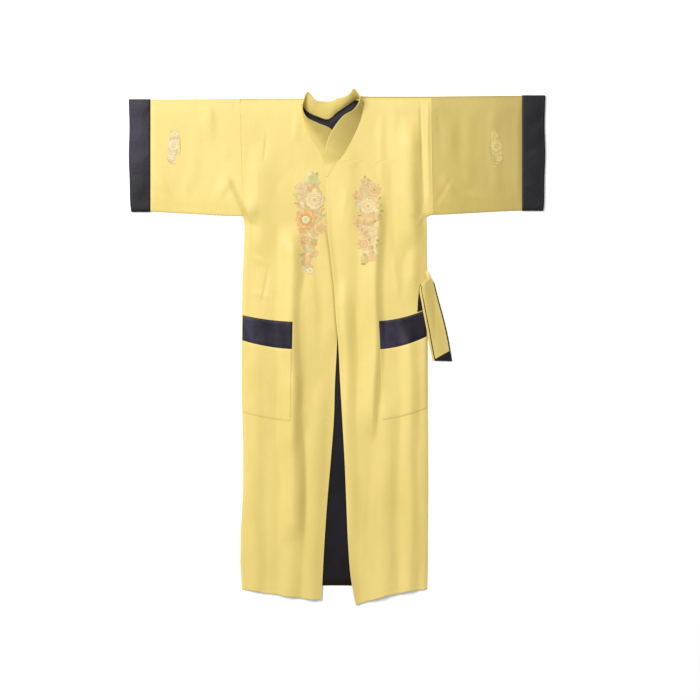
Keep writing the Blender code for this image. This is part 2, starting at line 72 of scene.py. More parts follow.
# %% Side seams and fronts
# Side seams: y, x of the wearer's right side, x of the left side
SIDES = np.array([
    (SHOULDER_Y, -261.5, 255.0), (560.0, -259.0, 256.5), (450.0, -256.0, 258.5),
    (366.0, -257.5, 259.5), (359.0, -256.5, 259.0), (356.5, -255.5, 241.5),
    (ARMHOLE_END_Y, -254.0, 241.0), (336.0, -249.5, 241.5), (305.0, -250.0, 242.0),
    (248.0, -252.0, 242.5), (183.0, -255.0, 243.6), (118.0, -256.5, 244.4),
    (21.0, -257.8, 244.4), (-141.0, -257.1, 244.6), (-262.0, -253.2, 245.5),
    (-384.0, -253.6, 245.7), (-492.0, -259.5, 244.8), (-578.0, -260.8, 244.6),
    (SIDE_HEM_Y, -257.0, 243.0),
])

# Rows of a front: y at the side seam, x of the front edge, how far the row sags below y at half
# the width and at the front edge, and the share of the overlap's lift
FRONT_ROWS = {
    "right": np.array([
        (496.0, 2.7, -1, -7, 0), (477.0, 13.5, -1, -4, 0),
        (425.9, 17.6, 0, 0, 0), (385.4, 18.1, 0, 0, 0), (ARMHOLE_END_Y, 17.3, 0, 0, 0),
        (304.4, 14.6, 0, 0, 0), (228.8, 8.1, 5, 3, 0), (155.9, 4.3, 12, 8, 0),
        (88.4, 1.9, 18, 13, 0), (20.9, 0.0, 24, 16, 0), (-76.3, -5.4, 24, 19, 0),
        (-173.5, -8.4, 24, 19, 0), (-276.1, -16.2, 24, 21, 0), (-384.1, -25.7, 26, 24, 0),
        (-492.1, -33.5, 27, 27, 0), (-578.5, -38.3, 22, 30, 0), (SIDE_HEM_Y, -41.9, 17.5, 31, 0),
    ]),
    "left": np.array([
        (496.0, -30.5, -1, -8.8, 1), (452.9, -28.9, 0, 0, 1),
        (385.4, -27.5, 0, 0, 1), (ARMHOLE_END_Y, -26.7, 0, 0, 1), (304.4, -24.8, 0, 0, 1),
        (228.8, -14.9, 8, 5, 1), (161.3, -7.3, 20, 12, 1), (104.6, -3.2, 32, 18, 1),
        (31.7, 3.5, 35, 22, 1), (-65.5, 8.6, 34, 26, 0.4), (-162.7, 14.3, 31, 29, 0),
        (-276.1, 20.8, 27, 32, 0), (-384.1, 25.4, 26, 35, 0), (-492.1, 30.2, 24, 38, 0),
        (-578.5, 37.2, 19, 40, 0), (SIDE_HEM_Y, 51.0, 16, 44, 0),
    ]),
}
SHOULDER_ROWS = {
    "right": np.array([(SHOULDER_Y, -90.5, 0, 0, 0), (666.2, -91.5, 0, 0, 0),
                       (655.4, -97.4, 0, 0, 0)]),
    "left": np.array([(SHOULDER_Y, 63.0, 0, 0, 0), (666.2, 66.0, 0, 0, 0),
                      (655.4, 71.2, 0, 0, 0)]),
}
print("front rows:", {side: len(rows) for side, rows in FRONT_ROWS.items()})

# %% Stations of the neckband
# Neckband stations from the right front's end, round the neck, to the left front's end: seam edge
# x and y, free edge x and y, height of the seam edge, rise of the free edge
NECKBAND = np.array([
    (-35.0, 507.0, 5.0, 531.0, 4.6, 1), (-49.5, 535.5, 0.0, 561.0, 4.6, 3),
    (-67.5, 563.0, -16.5, 589.5, 4.6, 8), (-83.5, 592.0, -50.0, 604.0, 4.6, 15),
    (-90.5, 618.0, -78.5, 617.0, 4.6, 21), (-95.0, 636.5, -91.3, 635.5, 4.6, 25),
    (-96.5, 652.0, -91.5, 659.0, 4.4, 27), (-89.0, 647.0, -78.3, 689.0, 3.4, 24),
    (-77.5, 635.5, -59.0, 667.5, 3.2, 17), (-54.5, 624.6, -40.5, 664.5, 3.2, 13),
    (-23.5, 616.3, -16.7, 664.5, 3.2, 11), (0.5, 635.2, 1.4, 672.5, 3.2, 13),
    (19.4, 647.8, 18.9, 676.0, 3.2, 16), (39.2, 661.5, 34.6, 684.5, 3.2, 20),
    (56.5, 673.0, 45.4, 697.5, 3.3, 24), (66.5, 668.0, 58.0, 681.0, 4.0, 27),
    (70.0, 655.0, 61.0, 665.0, 4.6, 26), (69.5, 638.0, 45.9, 641.1, 4.6, 20),
    (62.5, 612.2, 18.5, 625.0, 4.6, 16), (47.5, 577.1, -4.0, 598.7, 4.9, 14),
    (30.0, 543.0, -22.7, 566.3, 5.9, 12), (13.0, 515.0, -31.6, 533.9, 7.1, 8),
    (3.5, 505.4, -35.6, 506.2, 7.5, 3),
])
print("neckband stations:", len(NECKBAND))

# %% [markdown]
# ## Soft curves through a table
# Cloth has no corners between two measured places. A Catmull-Rom curve passes through each row of
# a table and bends smoothly between them. A subdivision surface would do this too, but it pulls
# the outline inwards.

# %% Curves and blends
def smooth(t):
    """Rise from 0 to 1 with level ends."""
    t = np.clip(t, 0.0, 1.0)
    return t * t * (3 - 2 * t)


def blend(value, span):
    """0 where the value is at the span's first end, 1 at its second end, and smooth between."""
    none_at, full_at = span
    return smooth((value - none_at) / (full_at - none_at))


def waves(place, table):
    """A sum of waves. The table gives the height, the length and the shift of each."""
    return sum(tall * np.sin(place / length + shift) for tall, length, shift in table)


def smooth_rows(rows, step):
    """Rows on a smooth curve through the table's rows, about step apart in their first columns."""
    last = len(rows) - 1
    result = []
    for i in range(last):
        a, b, c, d = rows[max(i - 1, 0)], rows[i], rows[i + 1], rows[min(i + 2, last)]
        count = max(1, math.ceil(np.hypot(*(c - b)[:2]) / step))
        for t in np.arange(count) / count:
            bend = 2 * a - 5 * b + 4 * c - d + t * (3 * (b - c) + d - a)
            result.append(b + 0.5 * t * (c - a + t * bend))
    result.append(rows[last])
    return np.array(result)


def side_x(wearer, y):
    """x of a side seam at y."""
    column = 1 if wearer == "right" else 2
    return np.interp(y, SIDES[::-1, 0], SIDES[::-1, column])


# %% [markdown]
# ## Folds
# A laid robe keeps long soft folds where it hung, and short creases where it was pulled straight.
# Each fold is a ridge over a line in plan, with a width of its own on either side, because cloth
# rises gently on one side and drops steeply on the other. A crisp fold has a sharper crest, like a
# pleat, or with a minus sign a sharper foot. A minus height makes a trough. The line wanders a
# little, as a real one does. Sculpting would also do it, but a table can be changed one fold at a
# time.

# %% Tables of folds
# x and y where it starts, x and y where it ends, width on its left and right, height, crispness
FOLDS = {
    "right": [
        (-123, 340, -119, -330, 46, 37, 15, .1), (-121, -20, -114, -560, 40, 34, 14, -.5),
        (-104, 210, -100, -260, 60, 84, 5, .2), (-216, 560, -212, 215, 34, 62, 6.5, 0),
        (-239, 430, -232, 230, 16, 36, 5, .3), (-53, -60, -72, -900, 40, 40, 4, 0),
        (-226, 20, -224, -900, 30, 34, 2.6, 0), (-124, -380, -118, -900, 44, 40, 5, .2),
    ],
    "left": [
        (110, 440, 97, -260, 52, 27, 12, .45), (19, 200, 39, -900, 28, 34, 7, .3),
        (192, 630, 207, 230, 50, 32, 12, -.4), (196, 70, 200, -900, 34, 28, 5.5, .2),
        (134, -110, 122, -900, 44, 44, 7, 0), (205, 330, 208, 110, 32, 32, 7, .1),
        (22, 450, 26, 310, 24, 32, 3.5, .2),
    ],
    "sleeve": [
        (-285, 478, -330, 388, 26, 20, 2.4, 0), (-344, 690, -341, 545, 36, 20, 3, .3),
        (-494, 488, -446, 392, 30, 18, 3, .2), (300, 640, 312, 480, 34, 28, 2.5, 0),
        (276, 470, 330, 395, 26, 20, 3, .2),
    ],
}
CREASES = {
    "right": [
        (-190, 590, -199, 486, 4, 8, -1.4, .4), (-183, 232, -206, 105, 4, 14, -1.5, .5),
        (-294, 466, -232, 326, 9, 7, -3.0, .5), (-252, 350, -212, 318, 8, 10, -1.2, .3),
        (-60, 330, -46, 120, 20, 20, -1.4, 0), (-236, 255, -176, 215, 14, 14, 1.2, 0),
        (-240, 150, -165, 132, 14, 14, 0.9, 0), (-104, 655, -118, 540, 16, 22, 1.4, 0),
        (-92, -150, -98, -560, 16, 20, 1.0, 0), (-170, -230, -178, -690, 18, 22, 0.9, 0),
        (-245, -330, -205, -640, 20, 20, 1.0, 0), (-243, 408, -237, 324, 8, 36, 6.0, 0),
    ],
    "left": [
        (225, 668, 236, 366, 7, 5, -2.6, .5), (244, 668, 249, 368, 10, 9, 2.0, .2),
        (86, 648, 96, 560, 12, 12, -1.4, 0), (150, 648, 158, 470, 18, 20, 1.5, 0),
        (119, 640, 121, 430, 14, 16, 1.3, 0), (30, 420, 26, 330, 12, 16, -1.8, .3),
        (240, 372, 212, 318, 10, 8, 1.8, .3), (48, 140, 52, 20, 12, 16, -1.2, 0),
        (150, 260, 170, 120, 14, 14, 1.0, 0), (158, -240, 156, -640, 14, 18, -0.8, 0),
        (98, -330, 92, -680, 16, 18, 1.0, 0), (228, -240, 224, -600, 14, 14, 0.9, 0),
    ],
    "sleeve": [
        (-276, 684, -277, 634, 6, 7, -1.8, .4), (-294, 466, -232, 326, 9, 7, -3.0, .5),
        (-380, 640, -392, 420, 26, 26, 1.0, 0), (-300, 560, -296, 500, 16, 16, 0.8, 0),
        (-490, 640, -486, 520, 14, 14, 0.6, 0), (-412, 470, -404, 392, 16, 14, 1.0, 0),
        (258, 372, 316, 470, 8, 14, -1.6, .3), (350, 650, 362, 420, 26, 26, 1.4, 0),
        (420, 660, 432, 400, 24, 26, 1.6, 0), (268, 650, 280, 560, 10, 12, -1.2, 0),
        (486, 640, 484, 400, 14, 14, 0.8, 0), (330, 420, 410, 395, 14, 14, 1.0, 0),
    ],
}
FOLD_FADE = 90.0
CREASE_FADE = 45.0
WANDER = 3.2            # how far a fold's line strays
WANDER_LENGTH = 55.0
WANDER_WIDTH = 60       # a fold narrower than this strays less
CREST = 0.1             # a crisp crest is rounded over this share of the width
MERGE = 3               # higher numbers keep neighbouring folds more apart
print("folds:", {name: len(FOLDS[name]) + len(CREASES[name]) for name in FOLDS})

# %% Height of the folds
def ridge(fold, x, y, longest_fade):
    """Height of one fold over each point."""
    x0, y0, x1, y1, left, right, height, crisp = fold
    length = math.hypot(x1 - x0, y1 - y0)
    along_x, along_y = (x1 - x0) / length, (y1 - y0) / length
    run = (x - x0) * along_x + (y - y0) * along_y
    wander = WANDER * np.sin(run / WANDER_LENGTH + x0) * smooth((left + right) / WANDER_WIDTH)
    off = (y - y0) * along_x - (x - x0) * along_y + wander
    off = np.clip(np.abs(off) / np.where(off > 0, right, left), 0, 1)
    soft = 0.5 + 0.5 * np.cos(np.pi * off)
    sharp = (1 - (np.hypot(off, CREST) - CREST) / (math.hypot(1, CREST) - CREST)) ** 2
    if crisp < 0:
        sharp, crisp = 1 - off ** 2, -crisp
    fade = min(longest_fade, length / 2)
    ends = smooth(run / fade) * smooth((length - run) / fade)
    return height * (soft + crisp * (sharp - soft)) * ends


def relief(name, x, y):
    """Height of all the folds and creases of a piece over each point."""
    folds = sum(ridge(fold, x, y, FOLD_FADE) ** MERGE for fold in FOLDS[name])
    creases = sum(ridge(crease, x, y, CREASE_FADE) for crease in CREASES[name])
    return np.cbrt(folds) + creases


# %% [markdown]
# ## Satin
# Satin is woven with long threads lying on top, so it shines along one direction and shows a fine
# rib from close by. The shader's anisotropy and sheen give the shine, two fine waves give the rib,
# and broad noise gives the slight unevenness of a dyed and pressed cloth.

# %% Node helpers
def new_material(name):
    """A material, its node tree and its shader."""
    material = bpy.data.materials.new(name)
    material.use_nodes = True
    return material, material.node_tree, material.node_tree.nodes["Principled BSDF"]


def add_node(tree, kind, **settings):
    """A node with its properties and its unlinked inputs set."""
    made = tree.nodes.new(kind)
    for key, value in settings.items():
        if key in made.inputs:
            made.inputs[key].default_value = value
        else:
            setattr(made, key, value)
    return made


def linear(red, green, blue):
    """A colour given as on a screen, 0 to 255, made linear for a shader."""
    channels = [c / 255 for c in (red, green, blue)]
    return (*[c / 12.92 if c <= 0.04045 else ((c + 0.055) / 1.055) ** 2.4 for c in channels], 1.0)


# %% The satin's colour
def satin_colour(tree, place, light, dark, painted_shade, streaks, low, high):
    """Two colours mixed by broad noise, darkened towards a painted-shade colour where a piece is
    marked, and the noise itself.
    """
    link = tree.links.new
    stretched = add_node(tree, "ShaderNodeMapping", Scale=(streaks[0], streaks[0] * 0.5, 1.0))
    broad = add_node(tree, "ShaderNodeTexNoise", Scale=8.0, Detail=3.0, Roughness=0.55)
    slubs_place = add_node(tree, "ShaderNodeMapping", Scale=(240.0, 20.0, 240.0))
    slubs = add_node(tree, "ShaderNodeTexNoise", Scale=1.0, Detail=2.0)
    link(place, stretched.inputs["Vector"])
    link(stretched.outputs["Vector"], broad.inputs["Vector"])
    link(place, slubs_place.inputs["Vector"])
    link(slubs_place.outputs["Vector"], slubs.inputs["Vector"])
    both = add_node(tree, "ShaderNodeMath", operation="MULTIPLY_ADD")
    both.inputs[1].default_value = streaks[1]
    link(slubs.outputs["Fac"], both.inputs[0])
    link(broad.outputs["Fac"], both.inputs[2])
    ramp = add_node(tree, "ShaderNodeValToRGB")
    ramp.color_ramp.elements[0].position = low
    ramp.color_ramp.elements[0].color = dark
    ramp.color_ramp.elements[1].position = high
    ramp.color_ramp.elements[1].color = light
    link(both.outputs["Value"], ramp.inputs["Fac"])
    colour = ramp.outputs["Color"]
    # Painted shade: the colour goes towards the dark third colour where a piece is marked.
    if painted_shade:
        mark = add_node(tree, "ShaderNodeAttribute", attribute_name="cross_grain")
        mixed = add_node(tree, "ShaderNodeMix", data_type="RGBA")
        link(mark.outputs["Fac"], mixed.inputs["Factor"])
        mixed_inputs = [s for s in mixed.inputs if s.type == "RGBA"]
        mixed_inputs[1].default_value = painted_shade
        link(colour, mixed_inputs[0])
        colour = [s for s in mixed.outputs if s.type == "RGBA"][0]
    return colour, broad.outputs["Fac"]


# %% The satin's weave
WAVE_BAND = math.pi / 10    # a wave texture of this scale has one band to the metre
WEFT = 3                    # the weft's ribs are this many times as broad as the warp's


def satin_weave(tree, place, rib, crumple):
    """Two fine waves for the threads, over a soft crumple."""
    link = tree.links.new
    warp = add_node(tree, "ShaderNodeTexWave", bands_direction="X", Scale=WAVE_BAND / rib,
                    Distortion=0.4)
    weft = add_node(tree, "ShaderNodeTexWave", bands_direction="Y", Scale=WAVE_BAND / WEFT / rib,
                    Distortion=0.6)
    link(place, warp.inputs["Vector"])
    link(place, weft.inputs["Vector"])
    weave = add_node(tree, "ShaderNodeMath", operation="MULTIPLY")
    link(warp.outputs["Fac"], weave.inputs[0])
    link(weft.outputs["Fac"], weave.inputs[1])
    pressed = add_node(tree, "ShaderNodeTexNoise", Scale=22.0, Detail=3.0, Roughness=0.5,
                       Distortion=0.6)
    link(place, pressed.inputs["Vector"])
    soft = add_node(tree, "ShaderNodeBump", Strength=1.0, Distance=crumple)
    fine = add_node(tree, "ShaderNodeBump", Strength=0.5, Distance=rib / 12)
    link(pressed.outputs["Fac"], soft.inputs["Height"])
    link(weave.outputs["Value"], fine.inputs["Height"])
    link(soft.outputs["Normal"], fine.inputs["Normal"])
    return fine.outputs["Normal"]


# %% The satin material
UNEVEN_SHINE = 0.12     # how much rougher the roughest places are


def satin(name, light, dark, painted_shade=None, rib=0.0006, shine=0.42, sheen=0.35, crumple=0.0006,
          streaks=(1.0, 0.16), low=0.42, high=0.78, gloss=0.45):
    """Woven satin between two colours. Its optional third colour is painted shade, mixed in where a
    piece is marked. rib and crumple are in metres, and streaks stretches its broad unevenness."""
    material, tree, shader = new_material(name)
    link = tree.links.new
    place = add_node(tree, "ShaderNodeTexCoord").outputs["Object"]
    colour, uneven = satin_colour(tree, place, light, dark, painted_shade, streaks, low, high)
    link(colour, shader.inputs["Base Color"])
    rough = add_node(tree, "ShaderNodeMapRange")
    rough.inputs["To Min"].default_value = shine
    rough.inputs["To Max"].default_value = shine + UNEVEN_SHINE
    link(uneven, rough.inputs["Value"])
    link(rough.outputs["Result"], shader.inputs["Roughness"])
    link(satin_weave(tree, place, rib, crumple), shader.inputs["Normal"])
    tangent = add_node(tree, "ShaderNodeTangent", direction_type="UV_MAP")
    link(tangent.outputs["Tangent"], shader.inputs["Tangent"])
    shader.inputs["Anisotropic"].default_value = 0.5
    shader.inputs["Sheen Weight"].default_value = sheen
    shader.inputs["Sheen Roughness"].default_value = 0.4
    shader.inputs["Sheen Tint"].default_value = light
    shader.inputs["Specular IOR Level"].default_value = gloss
    return material


# %% The robe's satins
# Where a satin below has a third colour, that colour is painted shade for marked places.
gold = satin("gold_satin", linear(236, 212, 126), linear(226, 202, 115),
             painted_shade=linear(182, 163, 84))
# A darker copy of the gold satin, as painted shade for the left sleeve on the side away from the
# lamp.
gold_shaded = satin("gold_satin_cross_grain", linear(207, 185, 100), linear(195, 173, 91),
                   painted_shade=linear(150, 134, 72))
gold_back = satin("gold_satin_back", linear(232, 204, 124), linear(220, 190, 110))
# Its violet colour, mixed in by stretched noise, is painted sheen in streaks, and its third colour
# is painted shade.
dark = satin("dark_satin", linear(70, 63, 84), linear(35, 30, 44), painted_shade=linear(15, 14, 17),
             shine=0.38, sheen=0.03, crumple=0.0012, streaks=(1.9, 0.06), low=0.38, high=0.7,
             gloss=0.22)
# A darker copy of the dark satin, as painted shade for the left cuff on the side away from the
# lamp.
dark_shaded = satin("dark_satin_cross_grain", linear(23, 23, 28), linear(12, 12, 16), shine=0.4,
                   sheen=0.03, crumple=0.0012, streaks=(2.0, 0.1), gloss=0.25)
black = satin("black_lining_satin", linear(30, 27, 34), linear(16, 14, 19), shine=0.45,
              sheen=0.02, gloss=0.2)
print("satins:", [m.name for m in (gold, gold_shaded, gold_back, dark, dark_shaded, black)])

# %% [markdown]
# ## Walls of cloth
# A panel is a grid of points for its upper face and another for its lower face, joined round the
# rim. The rim gets one more row, pushed out a little, so that the edge is rolled like a pressed
# hem. A Solidify modifier would be shorter, but it can't keep one face flat on the floor.

# %% Mesh helpers
RIM_ROLL = 0.2          # share of the thickness that a rim is pushed out


def make_piece(name, points, faces, materials, slots=None):
    """A mesh object from points in millimetres. slots gives a material for each face."""
    mesh = bpy.data.meshes.new(name)
    mesh.from_pydata((np.asarray(points) * MM).tolist(), [], faces)
    for material in materials:
        mesh.materials.append(material)
    if slots is not None:
        mesh.polygons.foreach_set("material_index", np.asarray(slots, dtype=np.int32))
    bm = bmesh.new()
    bm.from_mesh(mesh)
    bmesh.ops.recalc_face_normals(bm, faces=bm.faces)
    bm.to_mesh(mesh)
    bm.free()
    mesh.shade_smooth()
    grain = mesh.uv_layers.new(name="grain")
    corners = np.zeros(len(mesh.loops), dtype=np.int32)
    mesh.loops.foreach_get("vertex_index", corners)
    plan = np.asarray(points)[corners][:, :2] * MM
    grain.data.foreach_set("uv", plan.astype(np.float32).ravel())
    made = bpy.data.objects.new(name, mesh)
    bpy.context.scene.collection.objects.link(made)
    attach(made, "root")
    return made


def strip_faces(first, second, wrap):
    """Quads between two rows of point numbers."""
    if wrap:
        first, second = np.append(first, first[0]), np.append(second, second[0])
    return np.stack([first[:-1], second[:-1], second[1:], first[1:]], axis=1)


def grid_faces(index, wrap=False):
    """Quads between all the rows of a grid of point numbers."""
    return np.concatenate([strip_faces(a, b, wrap) for a, b in zip(index, index[1:])])


def rim_numbers(index):
    """Point numbers round the rim of a grid, in order."""
    return np.concatenate([index[0], index[1:, -1], index[-1, -2::-1], index[-2:0:-1, 0]])


def paint_shade(piece, values):
    """Store how much painted shade the satin gets at each point, from 0 to 1."""
    attribute = piece.data.attributes.new("cross_grain", "FLOAT", "POINT")
    attribute.data.foreach_set("value", np.asarray(values, dtype=np.float32))


def places(piece):
    """x and y of a piece's points, in millimetres."""
    flat = np.zeros(len(piece.data.vertices) * 3)
    piece.data.vertices.foreach_get("co", flat)
    return flat[0::3] / MM, flat[1::3] / MM


# %% Walls and tubes
def cloth_wall(name, high, low, cloth, inside=None, roll=RIM_ROLL):
    """One closed wall between two grids of points."""
    rows, columns = high.shape[:2]
    count = rows * columns
    above = np.arange(count).reshape(rows, columns)
    rim = rim_numbers(above)
    flat_high, flat_low = high.reshape(-1, 3), low.reshape(-1, 3)
    middle = (flat_high[rim] + flat_low[rim]) / 2
    along = np.roll(middle, -1, axis=0) - np.roll(middle, 1, axis=0)
    out = np.stack([along[:, 1], -along[:, 0], 0 * along[:, 0]], axis=1)
    out /= np.maximum(np.linalg.norm(out, axis=1, keepdims=True), 1e-9)
    turned = np.roll(middle, -1, axis=0)
    area = np.sum(middle[:, 0] * turned[:, 1] - middle[:, 1] * turned[:, 0])
    thick = np.linalg.norm(flat_high[rim] - flat_low[rim], axis=1, keepdims=True)
    middle = middle + out * math.copysign(roll, area) * thick
    rolled = 2 * count + np.arange(len(rim))
    top, bottom = grid_faces(above), grid_faces(above + count)
    sides = np.concatenate([strip_faces(rim, rolled, True), strip_faces(rolled, rim + count, True)])
    faces = np.concatenate([top, sides, bottom])
    slots = [0] * (len(top) + len(sides)) + [1 if inside else 0] * len(bottom)
    points = np.concatenate([flat_high, flat_low, middle])
    return make_piece(name, points, faces.tolist(), [cloth] + ([inside] if inside else []), slots)


def cloth_tube(name, outer, inner, cloth, inside):
    """An open tube from rings of points. Its two ends are rolled over."""
    rings, count = outer.shape[:2]
    total = rings * count
    out_index = np.arange(total).reshape(rings, count)
    in_index = out_index + total
    faces = [grid_faces(out_index, True)]
    points = [outer.reshape(-1, 3), inner.reshape(-1, 3)]
    for end, neighbour in ((0, 1), (-1, -2)):
        lip = (outer[end] + inner[end]) / 2
        outwards = outer[end] - outer[neighbour]
        outwards /= np.linalg.norm(outwards, axis=1, keepdims=True)
        lip_index = sum(len(p) for p in points) + np.arange(count)
        points.append(lip + outwards * RIM_ROLL * CLOTH)
        faces.append(strip_faces(out_index[end], lip_index, True))
        faces.append(strip_faces(lip_index, in_index[end], True))
    shown = sum(len(f) for f in faces)
    faces.append(grid_faces(in_index, True))
    slots = [0] * shown + [1] * len(faces[-1])
    return make_piece(name, np.concatenate(points), np.concatenate(faces).tolist(),
                      [cloth, inside], slots)


# %% [markdown]
# ## The two fronts
# Each front hangs from the shoulder to the hem, and the wearer's left one laps over the right one.
# A row of points goes from the side seam to the front edge. It sags a little, because the hem of
# the real robe hangs lower at the middle.

# %% Rows of a front
FRONT_STEP = 4.5        # between rows, in millimetres
FRONT_COLUMNS = 84
NECK_STATIONS = {"right": slice(0, 6), "left": slice(-6, None)}
NECK_EASE = {"right": -0.3, "left": 0.3}
NECK_BASE_Z = 4.6
CLIMB = (62.0, 26.0)    # the left front climbs on to the right one between these x


def front_shares():
    """Columns from the side seam (0) to the front edge (1), closer at both edges."""
    inner = np.linspace(0.012, 0.988, FRONT_COLUMNS)
    return np.concatenate([[0, 0.004], inner, [0.996, 1.0]])


def front_rows(wearer):
    """All rows of a front: the shoulder, the neck edge along the neckband, and the rest."""
    stations = smooth_rows(NECKBAND[NECK_STATIONS[wearer]], FRONT_STEP)
    zero = np.zeros(len(stations))
    lift = (stations[:, 4] - NECK_BASE_Z) / OVERLAP_LIFT
    neck = np.stack([stations[:, 1], stations[:, 0] + NECK_EASE[wearer], zero, zero, lift], axis=1)
    neck = neck[np.argsort(-neck[:, 0])]
    return np.concatenate([smooth_rows(SHOULDER_ROWS[wearer], FRONT_STEP), neck,
                           smooth_rows(FRONT_ROWS[wearer], FRONT_STEP)])


def climb(x):
    """Share of the overlap's lift at x."""
    return blend(x, CLIMB)


def row_points(wearer, rows, shares):
    """x and y of a front's rows at its columns, and each row's share of the overlap's lift."""
    y_side, edge_x, sag_mid, sag_edge, lift = [rows[:, i:i + 1] for i in range(5)]
    seam = side_x(wearer, y_side)
    x = seam + (edge_x - seam) * shares
    bend = 4 * sag_mid - sag_edge
    return x, y_side - shares * (bend + (sag_edge - bend) * shares), y_side, lift


# %% The hem, and the cloth beside the overlap
HEM_WAVES_Y = (-560, -650)      # the hem's waves grow between these y
HEM_WAVES = ((0.7, 9.5, 0.0), (0.3, 4.3, 1.0))
HEM_LIFT_LENGTH = 13.0
BELOW_NECK = (505, 415)         # from the neckband's lapping end down
RIDGE_HEIGHT = 3.0
RIDGE_FOOT = (5, 55)            # the ridge beside the free edge grows between these y
RIDGE_STEEP = ([110, 260, 430], [4.5, 6.5, 15.0])   # y, and the width in which it rises there
RIDGE_FALL = 42                 # width in which it sinks again
FILLED = 0.6                    # share of its dip under the edge that is filled,
FILLED_Y = (290, 380)           # growing between these y,
FILLED_OFF = (-6, 0)            # and this far off the edge


def hem_waves(x, y_side):
    """The hem runs in small waves, in plan and in height."""
    near = blend(y_side, HEM_WAVES_Y)
    return near * waves(x, HEM_WAVES), near * np.sin(x / HEM_LIFT_LENGTH)


def left_edge_x(y):
    """x of the left front's free edge at y."""
    table = FRONT_ROWS["left"]
    return np.interp(y, (table[:, 0] - table[:, 3])[::-1], table[::-1, 1])


def edge_ridge(x, y):
    """The right front swells beside the left front's free edge, and dips under it."""
    off = left_edge_x(y) - x
    steep = np.interp(y, *RIDGE_STEEP)
    tall = RIDGE_HEIGHT * blend(y, RIDGE_FOOT) * blend(y, BELOW_NECK)
    filled = FILLED * blend(y, FILLED_Y)
    rise = filled * blend(off, FILLED_OFF) + (1 - filled) * smooth(off / steep)
    return tall * rise * (1 - smooth((off - steep) / RIDGE_FALL))


# %% Points of a front
BODY_EASE = 2.2             # the fronts stand this much up from the lining, as room for creases
EDGE_LIFT = 2.2             # the left front's free edge stands up this much more
LEFT_SHOULDER_RISE = 5.5    # the left shoulder lies a little higher than the right one
NECK_X = -13.0              # middle of the neck
# How far a front is pressed down, by its share of the width at the side and by y at the shoulder
SIDE_PRESSED = ([0, 0.02, 0.04], [1, 0.4, 0])
SHOULDER_PRESSED = ([655.4, 666.2, SHOULDER_Y], [0, 0.4, 1])
# Spans in which something grows from nothing to full, in y unless the comment says otherwise
SIDE_PRESSED_Y = (385, 353)         # the side seam is pressed down below the arm
SHOULDER_EASED = (SHOULDER_Y, SHOULDER_Y - 40)      # the ease begins under the shoulder
BELOW_ARM = (410, 360)              # from here down the ease keeps off the side seam,
SHARES_OFF_SIDE = (0.04, 0.2)       # and grows between these shares of the width
SHARES_OFF_EDGE = (1, 0.85)         # and these, at the front edge
X_OFF_NECK = (90, 170)              # in x, from the middle of the neck
COVERED_Y = (10, 100)               # the right front is level where the left one covers it,
COVERED_X = (-64, -34)              # between these x
FREE_EDGE = (16, 0)                 # the left front lifts this close to its free edge, in x
FREE_EDGE_Y = (430, 270)
LEFT_RISE_Y = (560, 660)            # its shoulder rises here


def front_points(wearer, rows, shares):
    """Upper face of a front, one row of points for each row of the cut."""
    x, y, y_side, lift = row_points(wearer, rows, shares)
    at_side = np.interp(shares, *SIDE_PRESSED) * blend(y_side, SIDE_PRESSED_Y)
    pressed = np.maximum(at_side, np.interp(y_side, *SHOULDER_PRESSED))
    near_side = blend(y_side, BELOW_ARM) * (1 - blend(shares, SHARES_OFF_SIDE))
    inside = (1 - near_side) * blend(shares, SHARES_OFF_EDGE)
    off_neck = np.maximum(blend(y_side, BELOW_NECK), blend(np.abs(x - NECK_X), X_OFF_NECK))
    ease = BODY_EASE * inside * off_neck * blend(y_side, SHOULDER_EASED)
    folds = relief(wearer, x, y)
    if wearer == "right":
        covered = blend(y_side, COVERED_Y) * blend(x, COVERED_X)
        ease, folds = ease * (1 - covered), folds * (1 - covered) + edge_ridge(x, y)
    else:
        free = blend(x - rows[:, 1:2], FREE_EDGE) * blend(y_side, FREE_EDGE_Y)
        folds = folds + EDGE_LIFT * lift * free
        y = y + LEFT_SHOULDER_RISE * blend(y_side, LEFT_RISE_Y)
    wave_y, wave_z = hem_waves(x, y_side)
    rise = np.maximum((folds + ease + wave_z) * (1 - pressed), 0)
    z = FRONT_TOP_Z + OVERLAP_LIFT * lift * climb(x) + rise - pressed * (FRONT_Z - BACK_LINING_Z)
    return np.stack([x, y + wave_y, z], axis=2)


def lowered(points, amount):
    """The same points, further down."""
    return points - np.array([0, 0, amount])


# %% Painted shade on the fronts
PULLED = ((-293, 466), (-240, 338))     # a crease that the right sleeve's weight pulls tight
PULLED_WIDTH = 6.5
PULLED_FADES = (30, 20)                 # lengths in which it fades at its two ends
PULLED_PAINTED_SHADE = 0.42
# Middle, half size and amount of painted shade of the bunched cloth under each arm
BUNCHED = ((-228, 366, 21, 28, 0.40), (222, 385, 13, 85, 0.28))
FOLD_SIDE = (-101, 17, 170, -520)       # x, half width and both ends of a fold's shaded side
FOLD_SIDE_FADE = 120
FOLD_SIDE_PAINTED_SHADE = 0.26


def underarm_painted_shade(x, y):
    """Painted shade where the satin is pulled and bunched under the arms."""
    (x0, y0), (x1, y1) = PULLED
    length = math.hypot(x1 - x0, y1 - y0)
    run = ((x - x0) * (x1 - x0) + (y - y0) * (y1 - y0)) / length
    off = ((y - y0) * (x1 - x0) - (x - x0) * (y1 - y0)) / length
    ends = smooth(run / PULLED_FADES[0]) * smooth((length - run) / PULLED_FADES[1])
    bunched = sum(painted_shade * np.exp(-((x - middle_x) / wide) ** 2 - ((y - middle_y) / tall) ** 2)
                  for middle_x, middle_y, wide, tall, painted_shade in BUNCHED)
    return PULLED_PAINTED_SHADE * np.exp(-(off / PULLED_WIDTH) ** 2) * ends + bunched


def fold_painted_shade(x, y):
    """Painted shade on the long side of the right front's broad fold, which lies across the light.
    """
    middle, half, top, foot = FOLD_SIDE
    along = smooth((top - y) / FOLD_SIDE_FADE) * smooth((y - foot) / FOLD_SIDE_FADE)
    return FOLD_SIDE_PAINTED_SHADE * along * np.exp(-((x - middle) / half) ** 4)


